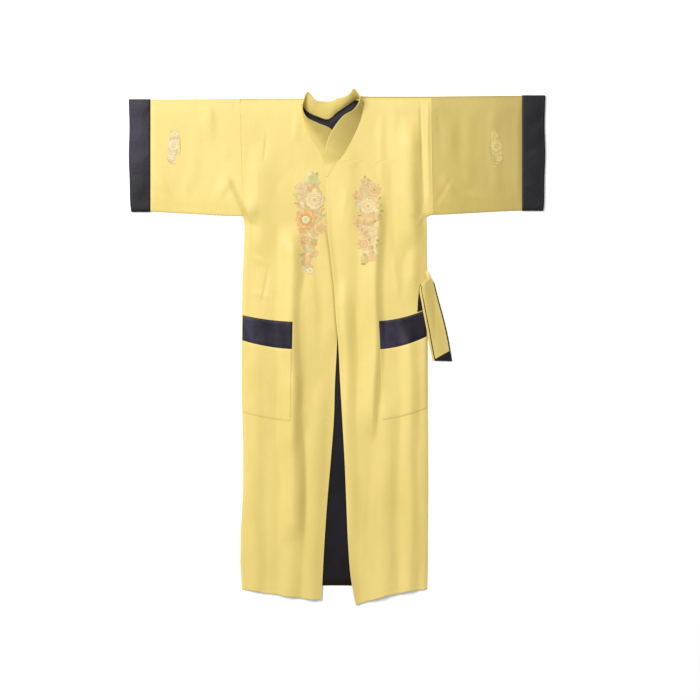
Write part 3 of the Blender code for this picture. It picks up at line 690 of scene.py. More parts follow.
# %% The fronts
SHOULDER_PAINTED_SHADE = {"right": 0.45, "left": 1.0}    # painted shade where the satin turns over the top
TOP_TURN = (-5.5, -2.0)         # from the top edge
fronts = {}
for wearer in ("right", "left"):
    high = front_points(wearer, front_rows(wearer), front_shares())
    fronts[wearer] = cloth_wall(wearer + "_front_satin", high, lowered(high, CLOTH), gold, black)
    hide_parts(wearer + "_front")
    x, y = places(fronts[wearer])
    # Painted shade: a dark line along the top edge, and under the arms and beside the broad fold.
    painted_shade = SHOULDER_PAINTED_SHADE[wearer] * blend(y - y.max(), TOP_TURN)
    paint_shade(fronts[wearer], painted_shade + underarm_painted_shade(x, y) + fold_painted_shade(x, y))
    print(fronts[wearer].name, len(fronts[wearer].data.polygons), "faces")

# %% [markdown]
# ## Linings and the back
# The lining shows in the front gap, in the neck and along the edges. It is level, because the
# folds are in the outer cloth. The back panel lies flat on the floor.

# %% The linings of the fronts
LINING_SHARES = np.linspace(0.04, 0.985, 24)
LINING_TOP_Y = 656.0
LINING_HEM_INSET = 8.0
LINING_INSET_Y = (-500, -650)   # the inset grows between these y


def front_lining_points(wearer):
    """Upper face of a front's lining."""
    rows = front_rows(wearer)
    rows = rows[rows[:, 0] < LINING_TOP_Y]
    x, y, y_side, lift = row_points(wearer, rows, LINING_SHARES)
    y = y + LINING_HEM_INSET * blend(y_side, LINING_INSET_Y)
    return np.stack([x, y, FRONT_LINING_Z + LINING + OVERLAP_LIFT * lift * climb(x)], axis=2)


for wearer in ("right", "left"):
    high = front_lining_points(wearer)
    lining = cloth_wall(wearer + "_front_lining_satin", high, lowered(high, LINING), black)
    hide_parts(wearer + "_front_lining")
    fronts[wearer + "_lining"] = lining
    print(lining.name, len(lining.data.polygons), "faces")

# %% The back and its lining
# Top edge of the back: x, y
BACK_TOP = np.array([
    (-262.0, 673.0), (-215.0, 673.0), (-165.0, 673.0), (-125.0, 673.0), (-95.0, 673.0),
    (-90.0, 655.0), (-80.0, 640.0), (-54.5, 627.3), (-23.5, 619.5), (0.5, 638.0),
    (19.4, 650.0), (40.5, 664.5), (55.0, 673.0), (72.0, 675.0), (110.0, 678.0),
    (160.0, 678.5), (205.0, 678.5), (255.0, 678.5),
])
BACK_HEM_RISE = 8.5
BACK_COLUMNS = 90
BACK_ROWS = 70
UNDERARM_YS = np.array([359.0, 356.5])     # two more rows, at the left underarm's corner
LINING_INSET = 10.5
LINING_HEM_UP = 1.0
NECK_INSET = 1.5
BACK_LIFT = 0.35        # room under the back for its embroidery, which lies on the floor


def back_points(z, inset, hem_inset, neck_inset):
    """A level panel from its top edge to its arched hem."""
    shares = np.linspace(0, 1, BACK_COLUMNS)
    first, last = BACK_TOP[0, 0], BACK_TOP[-1, 0]
    top = np.interp(first + shares * (last - first), BACK_TOP[:, 0], BACK_TOP[:, 1])
    top = np.minimum(top - neck_inset, top.max() - inset)
    hem = SIDE_HEM_Y + hem_inset + BACK_HEM_RISE * np.sin(np.pi * shares)
    at_underarm = (BACK_TOP[-1, 1] - UNDERARM_YS) / (BACK_TOP[-1, 1] - SIDE_HEM_Y)
    down = np.sort(np.concatenate([np.linspace(0, 1, BACK_ROWS), at_underarm]))[:, None]
    y = top + (hem - top) * down
    low_x, high_x = side_x("right", y) + inset, side_x("left", y) - inset
    x = low_x + (high_x - low_x) * shares
    return np.stack([x, y, z + 0 * x], axis=2)


high = back_points(CLOTH, 0.0, 0.0, 0.0)
back = cloth_wall("back_satin", high, lowered(high, CLOTH - BACK_LIFT), gold_back)
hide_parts("back_panel")
high = back_points(BACK_LINING_Z + LINING, LINING_INSET, LINING_HEM_UP, NECK_INSET)
back_lining = cloth_wall("back_lining_satin", high, lowered(high, LINING), black)
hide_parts("back_lining")
print("back:", len(back.data.polygons), "faces, lining:", len(back_lining.data.polygons))

# %% [markdown]
# ## Pockets
# A patch pocket is sewn flat on each front, with a dark band along its mouth. Its points are the
# front's own points, moved up by the cloth, so the folds run on through it.

# %% Points of a patch
POCKET_FROM = 0.008     # a pocket's edges, as shares of the front's width from the side seam
POCKET_TO = 0.53
POCKET_STEP = 3.0
POCKET_COLUMNS = 44
PATCH_GAP = 0.08
PRESSED = 6.0           # a patch is pressed flat this far in from its edges
PRESSED_THICK = 0.15    # share of its thickness that is left there


def patch(wearer, y_high, y_low, start, thick):
    """Upper and lower face of a patch on a front, between two heights of the cut."""
    rows = smooth_rows(FRONT_ROWS[wearer], POCKET_STEP)
    near = 0.01
    rows = rows[(rows[:, 0] <= y_high + near) & (rows[:, 0] >= y_low - near)]
    shares = np.linspace(POCKET_FROM, POCKET_TO, POCKET_COLUMNS)
    points = front_points(wearer, rows, shares)
    points[0, :, 1] -= start
    width = np.ptp(points[0, :, 0]) / (POCKET_TO - POCKET_FROM)
    in_x = np.minimum(shares - POCKET_FROM, POCKET_TO - shares) * width
    in_y = np.minimum(rows[0, 0] - rows[:, 0], rows[:, 0] - rows[-1, 0])[:, None]
    full = smooth(np.minimum(in_x, in_y) / PRESSED)
    low = lowered(points, -PATCH_GAP)
    rise = thick * (PRESSED_THICK + (1 - PRESSED_THICK) * full)
    return low + rise[:, :, None] * np.array([0, 0, 1]), low


# %% Pockets and their bands
# y of a pocket's mouth, of its band's lower edge and of its foot, which are rows of the fronts
POCKET_YS = {"right": (88.4, 20.9, -173.5), "left": (104.6, 31.7, -162.7)}
POCKET_THICK = 0.7
MOUTH_THICK = 1.1
# Painted shade of a band, how much it grows, between which x, and a painted highlight's depth, x
# and half width
BAND_TONES = {
    "right": (0.34, 0.36, (-222, -192), 0.9, -232, 7),
    "left": (0.05, 0.75, (168, 190), 0.3, 146, 8),
}
GLEAM_SLANT = 0.35


def band_painted_light(wearer, x):
    """Painted light on a pocket band: a painted highlight, violet, where it catches the light, and
    painted shade, nearly black, elsewhere.
    """
    painted_shade, growth, span, gleam, gleam_x, half = BAND_TONES[wearer]
    return painted_shade + growth * blend(x, span) - gleam * np.exp(-((x - gleam_x) / half) ** 2)


patches = {}
for wearer in ("right", "left"):
    mouth, band_end, foot = POCKET_YS[wearer]
    for part, y_high, y_low, start, thick, cloth, slot in (
            ("pocket_band", mouth, band_end, 0.0, MOUTH_THICK, dark, "dark_satin"),
            ("pocket", band_end, foot, GAP, POCKET_THICK, gold, "gold_satin")):
        high, low = patch(wearer, y_high, y_low, start, thick)
        piece = cloth_wall(f"{wearer}_{part}_satin", high, low, cloth)
        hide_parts(f"{wearer}_{part}")
        patches[f"{wearer}_{part}"] = piece
    band = patches[wearer + "_pocket_band"]
    x, y = places(band)
    # Painted shade and a painted highlight on the band.
    paint_shade(band, band_painted_light(wearer, x + GLEAM_SLANT * (y - y.mean())))
print("patches:", sorted(patches))

# %% [markdown]
# ## Sleeves and cuffs
# A kimono sleeve is a straight tube. Laid flat, it is two sheets with a round fold above and below.
# The cuff is a band turned up at the end of the sleeve, a little thicker than the sleeve.

# %% Rings of a flattened tube
SHEET_COLUMNS = 56
TURN_COLUMNS = 6


def flat_ring(low_y, high_y, height):
    """Round a flattened section: y, z, and the direction inwards, with 1 on the upper sheet."""
    half = height / 2
    level = np.linspace(0, 1, SHEET_COLUMNS, endpoint=False)
    turn = np.linspace(0, math.pi, TURN_COLUMNS, endpoint=False)
    low, high = low_y + half, high_y - half
    y = np.concatenate([low + (high - low) * level, high + half * np.sin(turn),
                        high + (low - high) * level, low - half * np.sin(turn)])
    z = np.concatenate([0 * level, half - half * np.cos(turn),
                        height + 0 * level, half + half * np.cos(turn)])
    in_y = np.concatenate([0 * level, -np.sin(turn), 0 * level, np.sin(turn)])
    in_z = np.concatenate([1 + 0 * level, np.cos(turn), -1 + 0 * level, -np.cos(turn)])
    upper = np.concatenate([0 * level, 0 * turn, 1 + 0 * level, 0 * turn])
    return y, z, in_y, in_z, upper


def ring_points(x, ring, rise):
    """Outer and inner points of a ring."""
    y, z, in_y, in_z, upper = ring
    z = z + rise * upper
    outer = np.stack([x, y, z], axis=1)
    inner = np.stack([x, y + in_y * CLOTH, z + in_z * CLOTH], axis=1)
    return outer, inner


# %% Sections of the sleeves
# Sleeve sections from the armhole to the cuff: x, lower edge y, upper edge y. The first section
# lies along the side seam, so its x is read from there.
SLEEVES = {
    "right": np.array([
        (-262, 356.0, 673.0), (-290, 356.5, 672.7), (-330, 358.5, 672.3), (-375, 361.0, 671.8),
        (-420, 363.5, 671.2), (-462, 366.0, 670.6), (-504, 368.0, 670.0)]),
    "left": np.array([
        (255, 359.5, 678.5), (285, 360.5, 678.8), (325, 362.5, 679.2), (370, 365.0, 679.6),
        (415, 367.5, 680.0), (458, 369.5, 680.4), (500, 371.0, 680.6)]),
}
OUTWARD = {"right": -1, "left": 1}
print("sleeve sections:", {side: len(rows) for side, rows in SLEEVES.items()})


def off_edges(y, low_y, high_y, reach):
    """0 at both edges of a section, and 1 from the reach inwards."""
    return smooth((y - low_y) / reach) * smooth((high_y - y) / reach)


# %% The sleeves
SLEEVE_STEP = 4.0
SLEEVE_EDGE = 40        # the folds grow this far in from a sleeve's upper and lower edge
DEEPEST = -0.8          # a crease sinks no further than this
CUFF_SETTLE = 12        # the sleeve sinks to the cuff's height in this last stretch,
CUFF_SETTLED = 0.15     # but for this share
SEAM_LAP = 0.8          # the sleeve goes this far under the front's edge
SEAM_SINK = 0.5         # and this much down
SEAM_RINGS = (0.2, 0.32)    # rings at these shares of the first step keep the edge crisp
# The left sleeve gets painted shade between these x, and along its top edge, which rises 1 mm in
# 100
FAR_PAINTED_SHADE = 0.22
FAR_PAINTED_SHADE_X = (340, 470)
TOP_PAINTED_SHADE = 0.75
TOP_LINE = (-4, -1)     # from the top edge
TOP_RUN = 100
sleeves = {}
# The left sleeve is a darker copy of the gold satin: painted shade.
for wearer, cloth, slot in (("right", gold, "gold_satin"),
                            ("left", gold_shaded, "gold_satin_other_grain")):
    sections = smooth_rows(SLEEVES[wearer], SLEEVE_STEP)
    close = [sections[0] + (sections[1] - sections[0]) * share for share in SEAM_RINGS]
    sections = np.concatenate([sections[:1], close, sections[1:]])
    stretch = abs(SLEEVES[wearer][1, 0] - SLEEVES[wearer][0, 0])
    outer, inner = [], []
    for x_section, low_y, high_y in sections:
        ring = flat_ring(low_y, high_y, FRONT_TOP_Z)
        seam = side_x(wearer, np.maximum(ring[0], ARMHOLE_END_Y)) - OUTWARD[wearer] * SEAM_LAP
        away = min(1.0, abs(x_section - SLEEVES[wearer][0, 0]) / stretch)
        x = seam * (1 - away) + SLEEVES[wearer][1, 0] * away if away < 1 else x_section + 0 * seam
        edges = off_edges(ring[0], low_y, high_y, SLEEVE_EDGE)
        rise = (relief("sleeve", x, ring[0]) + BODY_EASE) * edges
        to_cuff = abs(x_section - SLEEVES[wearer][-1, 0])
        rise = np.maximum(rise, DEEPEST) * smooth(to_cuff / CUFF_SETTLE + CUFF_SETTLED)
        points = ring_points(x, ring, rise - SEAM_SINK * (away == 0))
        outer.append(points[0])
        inner.append(points[1])
    sleeves[wearer] = cloth_tube(wearer + "_sleeve_satin", np.array(outer), np.array(inner),
                                 cloth, black)
    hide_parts(wearer + "_sleeve")
    x, y = places(sleeves[wearer])
    if wearer == "left":
        first_x, _, first_top = SLEEVES[wearer][0]
        top_line = blend(y - first_top - (x - first_x) / TOP_RUN, TOP_LINE)
        paint_shade(sleeves[wearer], FAR_PAINTED_SHADE * blend(x, FAR_PAINTED_SHADE_X) + TOP_PAINTED_SHADE * top_line)
    else:
        # Painted shade along the underarm crease.
        paint_shade(sleeves[wearer], underarm_painted_shade(x, y))
    print(sleeves[wearer].name, len(sleeves[wearer].data.polygons), "faces")

# %% The cuffs
SPAN_HALF = 562.0       # from the middle of the robe to a cuff's open end
CUFF_EXTRA = 1.5        # a cuff stands out round its sleeve this much
CUFF_CUT_IN = {"right": 6.5, "left": 5.0}   # a cuff's lower corner is drawn in this much
CORNER_POWER = 8        # only the lowest part of a cuff's end is drawn in
END_WAVE = 0.9
CUFF_RINGS = 16
CUFF_EDGE = 20
CUFF_SWELL = 0.6
CUFF_WAVES = ((0.35, 11, 0.0), (0.5, 37, 1.5))
# The right cuff gets painted shade at its seam, and more of it below a slanting line than above it
CUFF_SEAM = (2, 7)      # from the seam
CUFF_PAINTED_SHADE = 0.5
LOWER_PAINTED_SHADE = 0.4
LOWER_SLANT = 0.5
LOWER_SPAN = (795, 685)


def cuff_end_x(wearer, y):
    """x of a cuff's open end, which waves a little."""
    low_y, high_y = SLEEVES[wearer][-1, 1:]
    down = np.clip((high_y - y) / (high_y - low_y), 0, 1)
    wave = END_WAVE * (1 - np.cos(4 * math.pi * down))
    return OUTWARD[wearer] * (SPAN_HALF - CUFF_CUT_IN[wearer] * down ** CORNER_POWER - wave)


cuffs = {}
for wearer in ("right", "left"):
    end_x, low_y, high_y = SLEEVES[wearer][-1]
    ring = flat_ring(low_y - CUFF_EXTRA, high_y + CUFF_EXTRA, FRONT_TOP_Z + CUFF_EXTRA)
    far_x = cuff_end_x(wearer, ring[0])
    near_x = end_x + OUTWARD[wearer] * GAP
    outer, inner = [], []
    for share in np.linspace(0, 1, CUFF_RINGS):
        x = near_x + (far_x - near_x) * share
        edges = off_edges(ring[0], low_y, high_y, CUFF_EDGE) * math.sin(math.pi * share)
        rise = edges * (CUFF_SWELL + waves(ring[0], CUFF_WAVES))
        points = ring_points(x, ring, np.maximum(rise, 0))
        outer.append(points[0])
        inner.append(points[1])
    # The left cuff gets the darker copy of the dark satin: painted shade.
    cuffs[wearer] = cloth_tube(wearer + "_cuff_satin", np.array(outer), np.array(inner),
                               dark if wearer == "right" else dark_shaded, black)
    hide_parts(wearer + "_cuff")
    if wearer == "right":
        x, y = places(cuffs[wearer])
        at_seam = 1 - blend(OUTWARD[wearer] * (x - near_x), CUFF_SEAM)
        lower = blend(y - LOWER_SLANT * x, LOWER_SPAN)
        # Painted shade on the right cuff.
        paint_shade(cuffs[wearer], np.maximum(CUFF_PAINTED_SHADE + LOWER_PAINTED_SHADE * lower, at_seam))
    print(cuffs[wearer].name, len(cuffs[wearer].data.polygons), "faces")

# %% [markdown]
# ## Neckband
# One strip of satin, folded along its free edge, goes round the neck. It stands up at the back and
# turns down on to the fronts, where its left end laps over the right one.

# %% The neckband
BAND_STEP = 3.0
BAND_ACROSS = 18
BAND_THICK = 2.4
SEAM_THICK = 0.9        # the band is this thick at its seam, and swells to its full thickness
SWELL_AT = 0.3          # at this share of its width
BAND_BOW = 2.5
BAND_ROLL = 0.45
# The lapping end tapers off between these rows, counted back from the last one: there the band
# gets thinner and less bowed by these shares, and lies a little higher
TAPER_ROWS = (-26, -13)
TAPER_THINNER = 0.45
TAPER_FLATTER = 0.9
TAPER_LIFT = 0.1
# Two more stations, where the lapping end tapers off along the left front's free edge
BAND_END = np.array([(-9.0, 488.0, -33.0, 486.0, 8.25, 0),
                     (-25.0, 462.0, -30.0, 461.0, 8.2, 0)])


def band_points():
    """Middle surface of the neckband, its normals, and its thickness."""
    rows = smooth_rows(np.concatenate([NECKBAND, BAND_END]), BAND_STEP)
    count = len(rows)
    ending = blend(np.arange(count) - count, TAPER_ROWS)[:, None]
    seam_thick = SEAM_THICK * (1 - TAPER_THINNER * ending)
    seam_z = rows[:, 4:5] + seam_thick / 2 + TAPER_LIFT * ending
    seam = np.concatenate([rows[:, 0:2], seam_z], axis=1)
    free_rise = (rows[:, 5:6] + (BAND_THICK - SEAM_THICK) / 2) * (1 - ending)
    free = np.concatenate([rows[:, 2:4], seam_z + free_rise], axis=1)
    share = np.linspace(0, 1, BAND_ACROSS)
    middle = seam[:, None] * (1 - share)[None, :, None] + free[:, None] * share[None, :, None]
    middle[:, :, 2] += BAND_BOW * np.sin(np.pi * share) * (1 - TAPER_FLATTER * ending)
    run, rise = np.gradient(middle, axis=0), np.gradient(middle, axis=1)
    normal = np.cross(rise, run)
    normal /= np.maximum(np.linalg.norm(normal, axis=2, keepdims=True), 1e-9)
    swell = smooth(share / SWELL_AT) * (1 - ending)
    return middle, normal, (seam_thick + (BAND_THICK - SEAM_THICK) * swell)[:, :, None]


middle, normal, thick = band_points()
neckband = cloth_wall("neckband_satin", middle + normal * thick / 2, middle - normal * thick / 2,
                      gold, roll=BAND_ROLL)
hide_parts("neckband")
print("neckband:", len(neckband.data.polygons), "faces")

# %% Painted shade on the neckband
# station along the band, and how much painted shade its satin gets at the seam edge and at the free
# edge
BAND_PAINTED_SHADE = np.array([
    (0, .25, .6), (6, .15, .9), (13, .05, .85), (20, 0, .4), (27, 0, .05), (55, 0, 0),
    (62, .2, .3), (67, .7, .8), (75, .7, .8), (82, .45, .6), (88, .15, .25), (93, 0, 0),
    (100, 0, 0),
])
FREE_TONE_FROM = 0.6    # share of the width from which the free edge's painted shade is full


def mark_wall(wall, tones):
    """Mark both faces of a cloth wall, and its rim, with painted shade from a grid of tones."""
    flat = tones.ravel()
    rim = flat[rim_numbers(np.arange(len(flat)).reshape(tones.shape))]
    paint_shade(wall, np.concatenate([flat, flat, rim]))


stations = np.linspace(0, 100, len(middle))
at_seam = np.interp(stations, BAND_PAINTED_SHADE[:, 0], BAND_PAINTED_SHADE[:, 1])
at_free = np.interp(stations, BAND_PAINTED_SHADE[:, 0], BAND_PAINTED_SHADE[:, 2])
spread = smooth(np.linspace(0, 1, BAND_ACROSS) / FREE_TONE_FROM)
mark_wall(neckband, at_seam[:, None] * (1 - spread) + at_free[:, None] * spread)
print("neckband's most_shaded place:", max(at_seam.max(), at_free.max()))

# %% [markdown]
# ## Sash
# The sash is a long strip of the same two satins. It is folded up and hung from a loop at the
# wearer's left side seam, so a stack of layers shows: a gold fold on top, black lining at both
# edges, a gold layer peeping out on the left, and a slanting black end.

# %% Rows of the sash
# Left edge x and y, right edge x and y, from the sash's top to its end
SASH_ROWS = np.array([
    (238.1, 184.0, 254.6, 192.0), (223.0, 158.6, 263.0, 170.5), (228.4, 122.2, 272.7, 132.2),
    (235.2, 84.4, 283.2, 94.4), (242.7, 46.6, 292.8, 56.6), (249.5, 6.1, 300.5, 20.9),
    (257.9, -34.4, 310.0, -35.8),
])
TAIL_ROWS = np.array([
    (224.5, 170.0, 231.5, 170.0), (221.5, 154.0, 233.5, 154.0), (218.9, 129.0, 233.5, 129.0),
    (217.0, 96.5, 233.5, 102.0),
])
SASH_STEP = 3.0
SASH_REST_Z = 7.6
SASH_SLOPE = (237.0, 264.0)     # x where it leaves the front, and where it meets the floor


def strip_points(rows, first_share, last_share, columns, z_of):
    """A strip between two shares of the rows' width, at the height that z_of gives."""
    rows = smooth_rows(rows, SASH_STEP)
    share = np.linspace(first_share, last_share, columns)
    x = rows[:, 0:1] + (rows[:, 2:3] - rows[:, 0:1]) * share
    y = rows[:, 1:2] + (rows[:, 3:4] - rows[:, 1:2]) * share
    return np.stack([x, y, z_of(x, y, share + 0 * x)], axis=2)


def sash_rest(x):
    """The folded sash lies on the front, and then comes down on to the floor."""
    first, last = SASH_SLOPE
    return SASH_REST_Z * np.clip((last - x) / (last - first), 0, 1)


# %% Layers of the sash
# name, first share, last share, underside over the rest height, thickness, where it starts as a
# share of the first stretch, cloth, slot
SASH_LAYERS = (
    ("sash_lower_layer", 0.0, 0.90, 0.0, 1.2, 0.1, gold, "gold_satin"),
    ("sash_lining_layers", 0.13, 1.0, 1.4, 3.1, 0.75, black, "black_lining"),
)
LAYER_COLUMNS = 14
LAYER_ROLL = 0.3


def sash_rows_from(start):
    """The sash's rows, with the top one a share of the first stretch further down."""
    rows = SASH_ROWS.copy()
    rows[0] = SASH_ROWS[0] + (SASH_ROWS[1] - SASH_ROWS[0]) * start
    return rows


sash = {}
for name, first, last, up, thick, start, cloth, slot in SASH_LAYERS:
    high = strip_points(sash_rows_from(start), first, last, LAYER_COLUMNS,
                        lambda x, y, share, top=up + thick: sash_rest(x) + top)
    sash[name] = cloth_wall(name, high, lowered(high, thick), cloth, roll=LAYER_ROLL)
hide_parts("sash_under_folds")
print("sash layers:", list(sash))

# %% The sash's upper fold
UPPER_FROM, UPPER_TO = 0.165, 0.95      # its edges, as shares of the sash's width
UPPER_START = 0.2
UPPER_COLUMNS = 18
UPPER_ROLL = 0.4
UPPER_RISE = 6.3        # height of its top face over the rest height, at its edges
UPPER_SWELL = 1.1
SWELL_POWER = 0.7       # below 1, the swelling is flat on top
UPPER_PAINTED_SHADE = (0.25, 0.3)        # painted shade at its edges, and how much more in the middle
upper_rows = sash_rows_from(UPPER_START)
upper_rows[-1, 2:] = (SASH_ROWS[-2, 2:] + SASH_ROWS[-1, 2:]) / 2


def upper_height(x, y, share):
    """The upper fold swells a little between its edges."""
    across = np.clip((share - UPPER_FROM) / (UPPER_TO - UPPER_FROM), 0, 1)
    return sash_rest(x) + UPPER_RISE + UPPER_SWELL * np.sin(np.pi * across) ** SWELL_POWER


high = strip_points(upper_rows, UPPER_FROM, UPPER_TO, UPPER_COLUMNS, upper_height)
sash["upper"] = cloth_wall("sash_upper_satin", high, lowered(high, CLOTH), gold, roll=UPPER_ROLL)
arch = np.sin(np.pi * np.linspace(0, 1, UPPER_COLUMNS))
tones = np.tile(UPPER_PAINTED_SHADE[0] + UPPER_PAINTED_SHADE[1] * arch, (len(high), 1))
tones[:2] = 0.0         # its first rows have no painted shade, as they catch the light
mark_wall(sash["upper"], tones)
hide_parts("sash_upper_fold")
print("upper fold:", len(sash["upper"].data.polygons), "faces")

# %% [markdown]
# ## Things that lie on the robe
# The sash's end and the loop lie on the left front. Embroidery and stitches lie on the cloth too.
# A ray shot down from above finds the cloth's height at any place, so that each thread lies on the
# real surface with all its folds.

# %% Height of the cloth
RAY_ABOVE = 0.2         # the rays start this high, in metres,
RAY_BELOW = -0.1        # or this low


def surface_of(pieces, from_below=False):
    """A function that gives the height in millimetres of the first of the pieces at x, y."""
    trees = [BVHTree.FromObject(p, bpy.context.evaluated_depsgraph_get()) for p in pieces]
    start, way = (RAY_BELOW, 1.0) if from_below else (RAY_ABOVE, -1.0)

    def height(x, y):
        hits = [tree.ray_cast(Vector((x * MM, y * MM, start)), Vector((0, 0, way)))[0]
                for tree in trees]
        found = [hit.z / MM for hit in hits if hit is not None]
        if not found:
            return None
        return min(found) if from_below else max(found)
    return height


bpy.context.view_layer.update()
on_front = surface_of([fronts["right"], fronts["left"], *patches.values()])

# %% The sash's end
TAIL_THICK = 1.1
TAIL_COLUMNS = 8
tail_high = strip_points(TAIL_ROWS, 0.0, 1.0, TAIL_COLUMNS, lambda x, y, share: 0 * x)
for row in tail_high:
    for point in row:
        point[2] = (on_front(point[0], point[1]) or FRONT_TOP_Z) + GAP + TAIL_THICK
sash["tail"] = cloth_wall("sash_end_satin", tail_high, lowered(tail_high, TAIL_THICK), black)
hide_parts("sash_tail")
print("sash's end:", len(sash["tail"].data.polygons), "faces")

# %% The sash's loop
# Middle of the loop's underside: x, y, z
LOOP = np.array([(240.5, 206.0, 5.0), (244.5, 199.5, 7.8), (246.8, 190.0, 10.8),
                 (246.4, 182.5, 10.9)])
LOOP_WIDTH = 7.0
LOOP_THICK = 1.4
LOOP_STEP = 1.0
LOOP_COLUMNS = 7
LOOP_SWELL = 0.3        # it is this much thicker in the middle
LOOP_ROLL = 0.4
path = smooth_rows(LOOP, LOOP_STEP)
run = np.gradient(path, axis=0)
across = np.stack([-run[:, 1], run[:, 0]], axis=1)
across /= np.linalg.norm(across, axis=1, keepdims=True)
steps = np.linspace(-0.5, 0.5, LOOP_COLUMNS)
plan = path[:, None, :2] + across[:, None] * (steps[None, :, None] * LOOP_WIDTH)
swell = LOOP_THICK + LOOP_SWELL * np.cos(np.pi * steps)[None, :]
loop_high = np.concatenate([plan, (path[:, 2:3] + swell)[:, :, None]], axis=2)
loop = cloth_wall("sash_loop_satin", loop_high, lowered(loop_high, LOOP_THICK), gold,
                  roll=LOOP_ROLL)
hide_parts("sash_loop")
print("loop:", len(loop.data.polygons), "faces")

# %% [markdown]
# ## Threads
# Embroidery and seams are rows of short stitches. Each stitch is a small closed spindle that lies
# half sunk in the cloth, so it catches light as silk does. A normal map would be lighter to draw,
# but real stitches also show their outline from the side.

# %% Silk threads
def silk(name, colour, shine=0.36):
    """Twisted silk: slightly uneven in colour, with a fine slanting twist."""
    material, tree, shader = new_material(name)
    link = tree.links.new
    place = add_node(tree, "ShaderNodeTexCoord").outputs["Object"]
    uneven = add_node(tree, "ShaderNodeTexNoise", Scale=90.0, Detail=2.0)
    link(place, uneven.inputs["Vector"])
    ramp = add_node(tree, "ShaderNodeValToRGB")
    ramp.color_ramp.elements[0].position = 0.3
    ramp.color_ramp.elements[0].color = (*[c * 0.88 for c in colour[:3]], 1.0)
    ramp.color_ramp.elements[1].position = 0.7
    ramp.color_ramp.elements[1].color = colour
    link(uneven.outputs["Fac"], ramp.inputs["Fac"])
    link(ramp.outputs["Color"], shader.inputs["Base Color"])
    twist = add_node(tree, "ShaderNodeTexWave", bands_direction="DIAGONAL", Scale=600.0)
    link(place, twist.inputs["Vector"])
    bump = add_node(tree, "ShaderNodeBump", Strength=0.4, Distance=0.00006)
    link(twist.outputs["Fac"], bump.inputs["Height"])
    link(bump.outputs["Normal"], shader.inputs["Normal"])
    shader.inputs["Roughness"].default_value = shine
    shader.inputs["Sheen Weight"].default_value = 0.4
    return material


SILKS = {
    "coral": (246, 194, 118), "rust": (238, 176, 100), "peach": (250, 214, 148),
    "cream": (252, 238, 188), "blush": (248, 222, 168), "mint": (216, 220, 148),
    "leaf": (200, 203, 112), "olive": (190, 172, 96), "old_gold": (226, 196, 118),
    "straw": (236, 216, 134), "gold": (226, 200, 116), "violet": (56, 52, 68),
}
COLOURS = list(SILKS)
silks = [silk("silk_" + name, linear(*SILKS[name])) for name in COLOURS]
print("silks:", len(silks))

# %% Stitches as small spindles
THREAD_HEIGHT = 0.26
THREAD_SUNK = 0.15
ROUND_AT = np.array([0.14, 0.5, 0.86])      # where a stitch's three rings lie
ROUND_SIZE = np.array([0.82, 1.0, 0.82])
RING_SHAPE = ((-1, 0.3), (0, 1), (1, 0.3), (0, 0))      # side and height of a ring's four points
STITCH_POINTS = 14      # the two tips and three rings of four


def spindle_faces():
    """Faces of one stitch, from its first tip over its rings to its last tip."""
    faces = []
    for first in (1, 5, 9):
        ring = [first, first + 1, first + 2, first + 3]
        for a, b in zip(ring, ring[1:] + ring[:1]):
            faces.append((0, a, b) if first == 1 else (a - 4, a, b, b - 4))
            if first == 9:
                faces.append((a, STITCH_POINTS - 1, b))
    return faces


def sew(name, stitches, height_of, upward=1, tall=THREAD_HEIGHT):
    """One mesh of stitches. A stitch is (x0, y0, x1, y1, width, colour, layer)."""
    table = np.array([(*s[:5], COLOURS.index(s[5]), s[6]) for s in stitches])
    start, end = table[:, 0:2], table[:, 2:4]
    middle = (start + end) / 2
    heights = []
    for spots in (start, middle, end):
        found = [height_of(x, y) for x, y in spots]
        heights.append([np.nan if h is None else h for h in found])
    heights = np.array(heights).T
    keep = ~np.isnan(heights).any(axis=1)
    table, start, end, heights = table[keep], start[keep], end[keep], heights[keep]
    heights = heights + upward * table[:, 6:7]
    run = end - start
    run /= np.maximum(np.linalg.norm(run, axis=1, keepdims=True), 1e-6)
    across = np.stack([-run[:, 1], run[:, 0]], axis=1) * table[:, 4:5] / 2
    rings = [np.concatenate([start, heights[:, 0:1]], axis=1)]
    for t, size in zip(ROUND_AT, ROUND_SIZE):
        spot = start + (end - start) * t
        level = np.array([np.interp(t, [0, .5, 1], h) for h in heights])
        for side, up in RING_SHAPE:
            z = level + upward * (up * tall * size - (THREAD_SUNK if up == 0 else 0))
            rings.append(np.concatenate([spot + side * size * across, z[:, None]], axis=1))
    rings.append(np.concatenate([end, heights[:, 2:3]], axis=1))
    points = np.stack(rings, axis=1)
    faces = spindle_faces()
    count = len(table)
    numbered = [tuple(corner + STITCH_POINTS * i for corner in face)
                for i in range(count) for face in faces]
    slots = np.repeat(table[:, 5].astype(int), len(faces))
    used = sorted(set(slots.tolist()))
    slots = np.searchsorted(used, slots)
    made = make_piece(name, points.reshape(-1, 3), numbered, [silks[i] for i in used], slots)
    print(name, count, "stitches")
    return made


# %% [markdown]
# ## Flowers in satin stitch
# The robe has bands of flowers in coral, peach, cream and green silk. These are plain peonies,
# blossoms, leaves and buds, of the kind that many makers use. A petal is a fan of stitches in two
# shades, and a leaf has slanted stitches on both sides of its midrib.

# %% Petals
PETAL_ROUND = 0.22      # the corners of a petal are rounded by this share of its length
PETAL_SPLIT = 0.56      # the inner shade ends at this share of its length


def point_at(x, y, angle, reach):
    """A place this far off in a direction."""
    return x + math.cos(angle) * reach, y + math.sin(angle) * reach


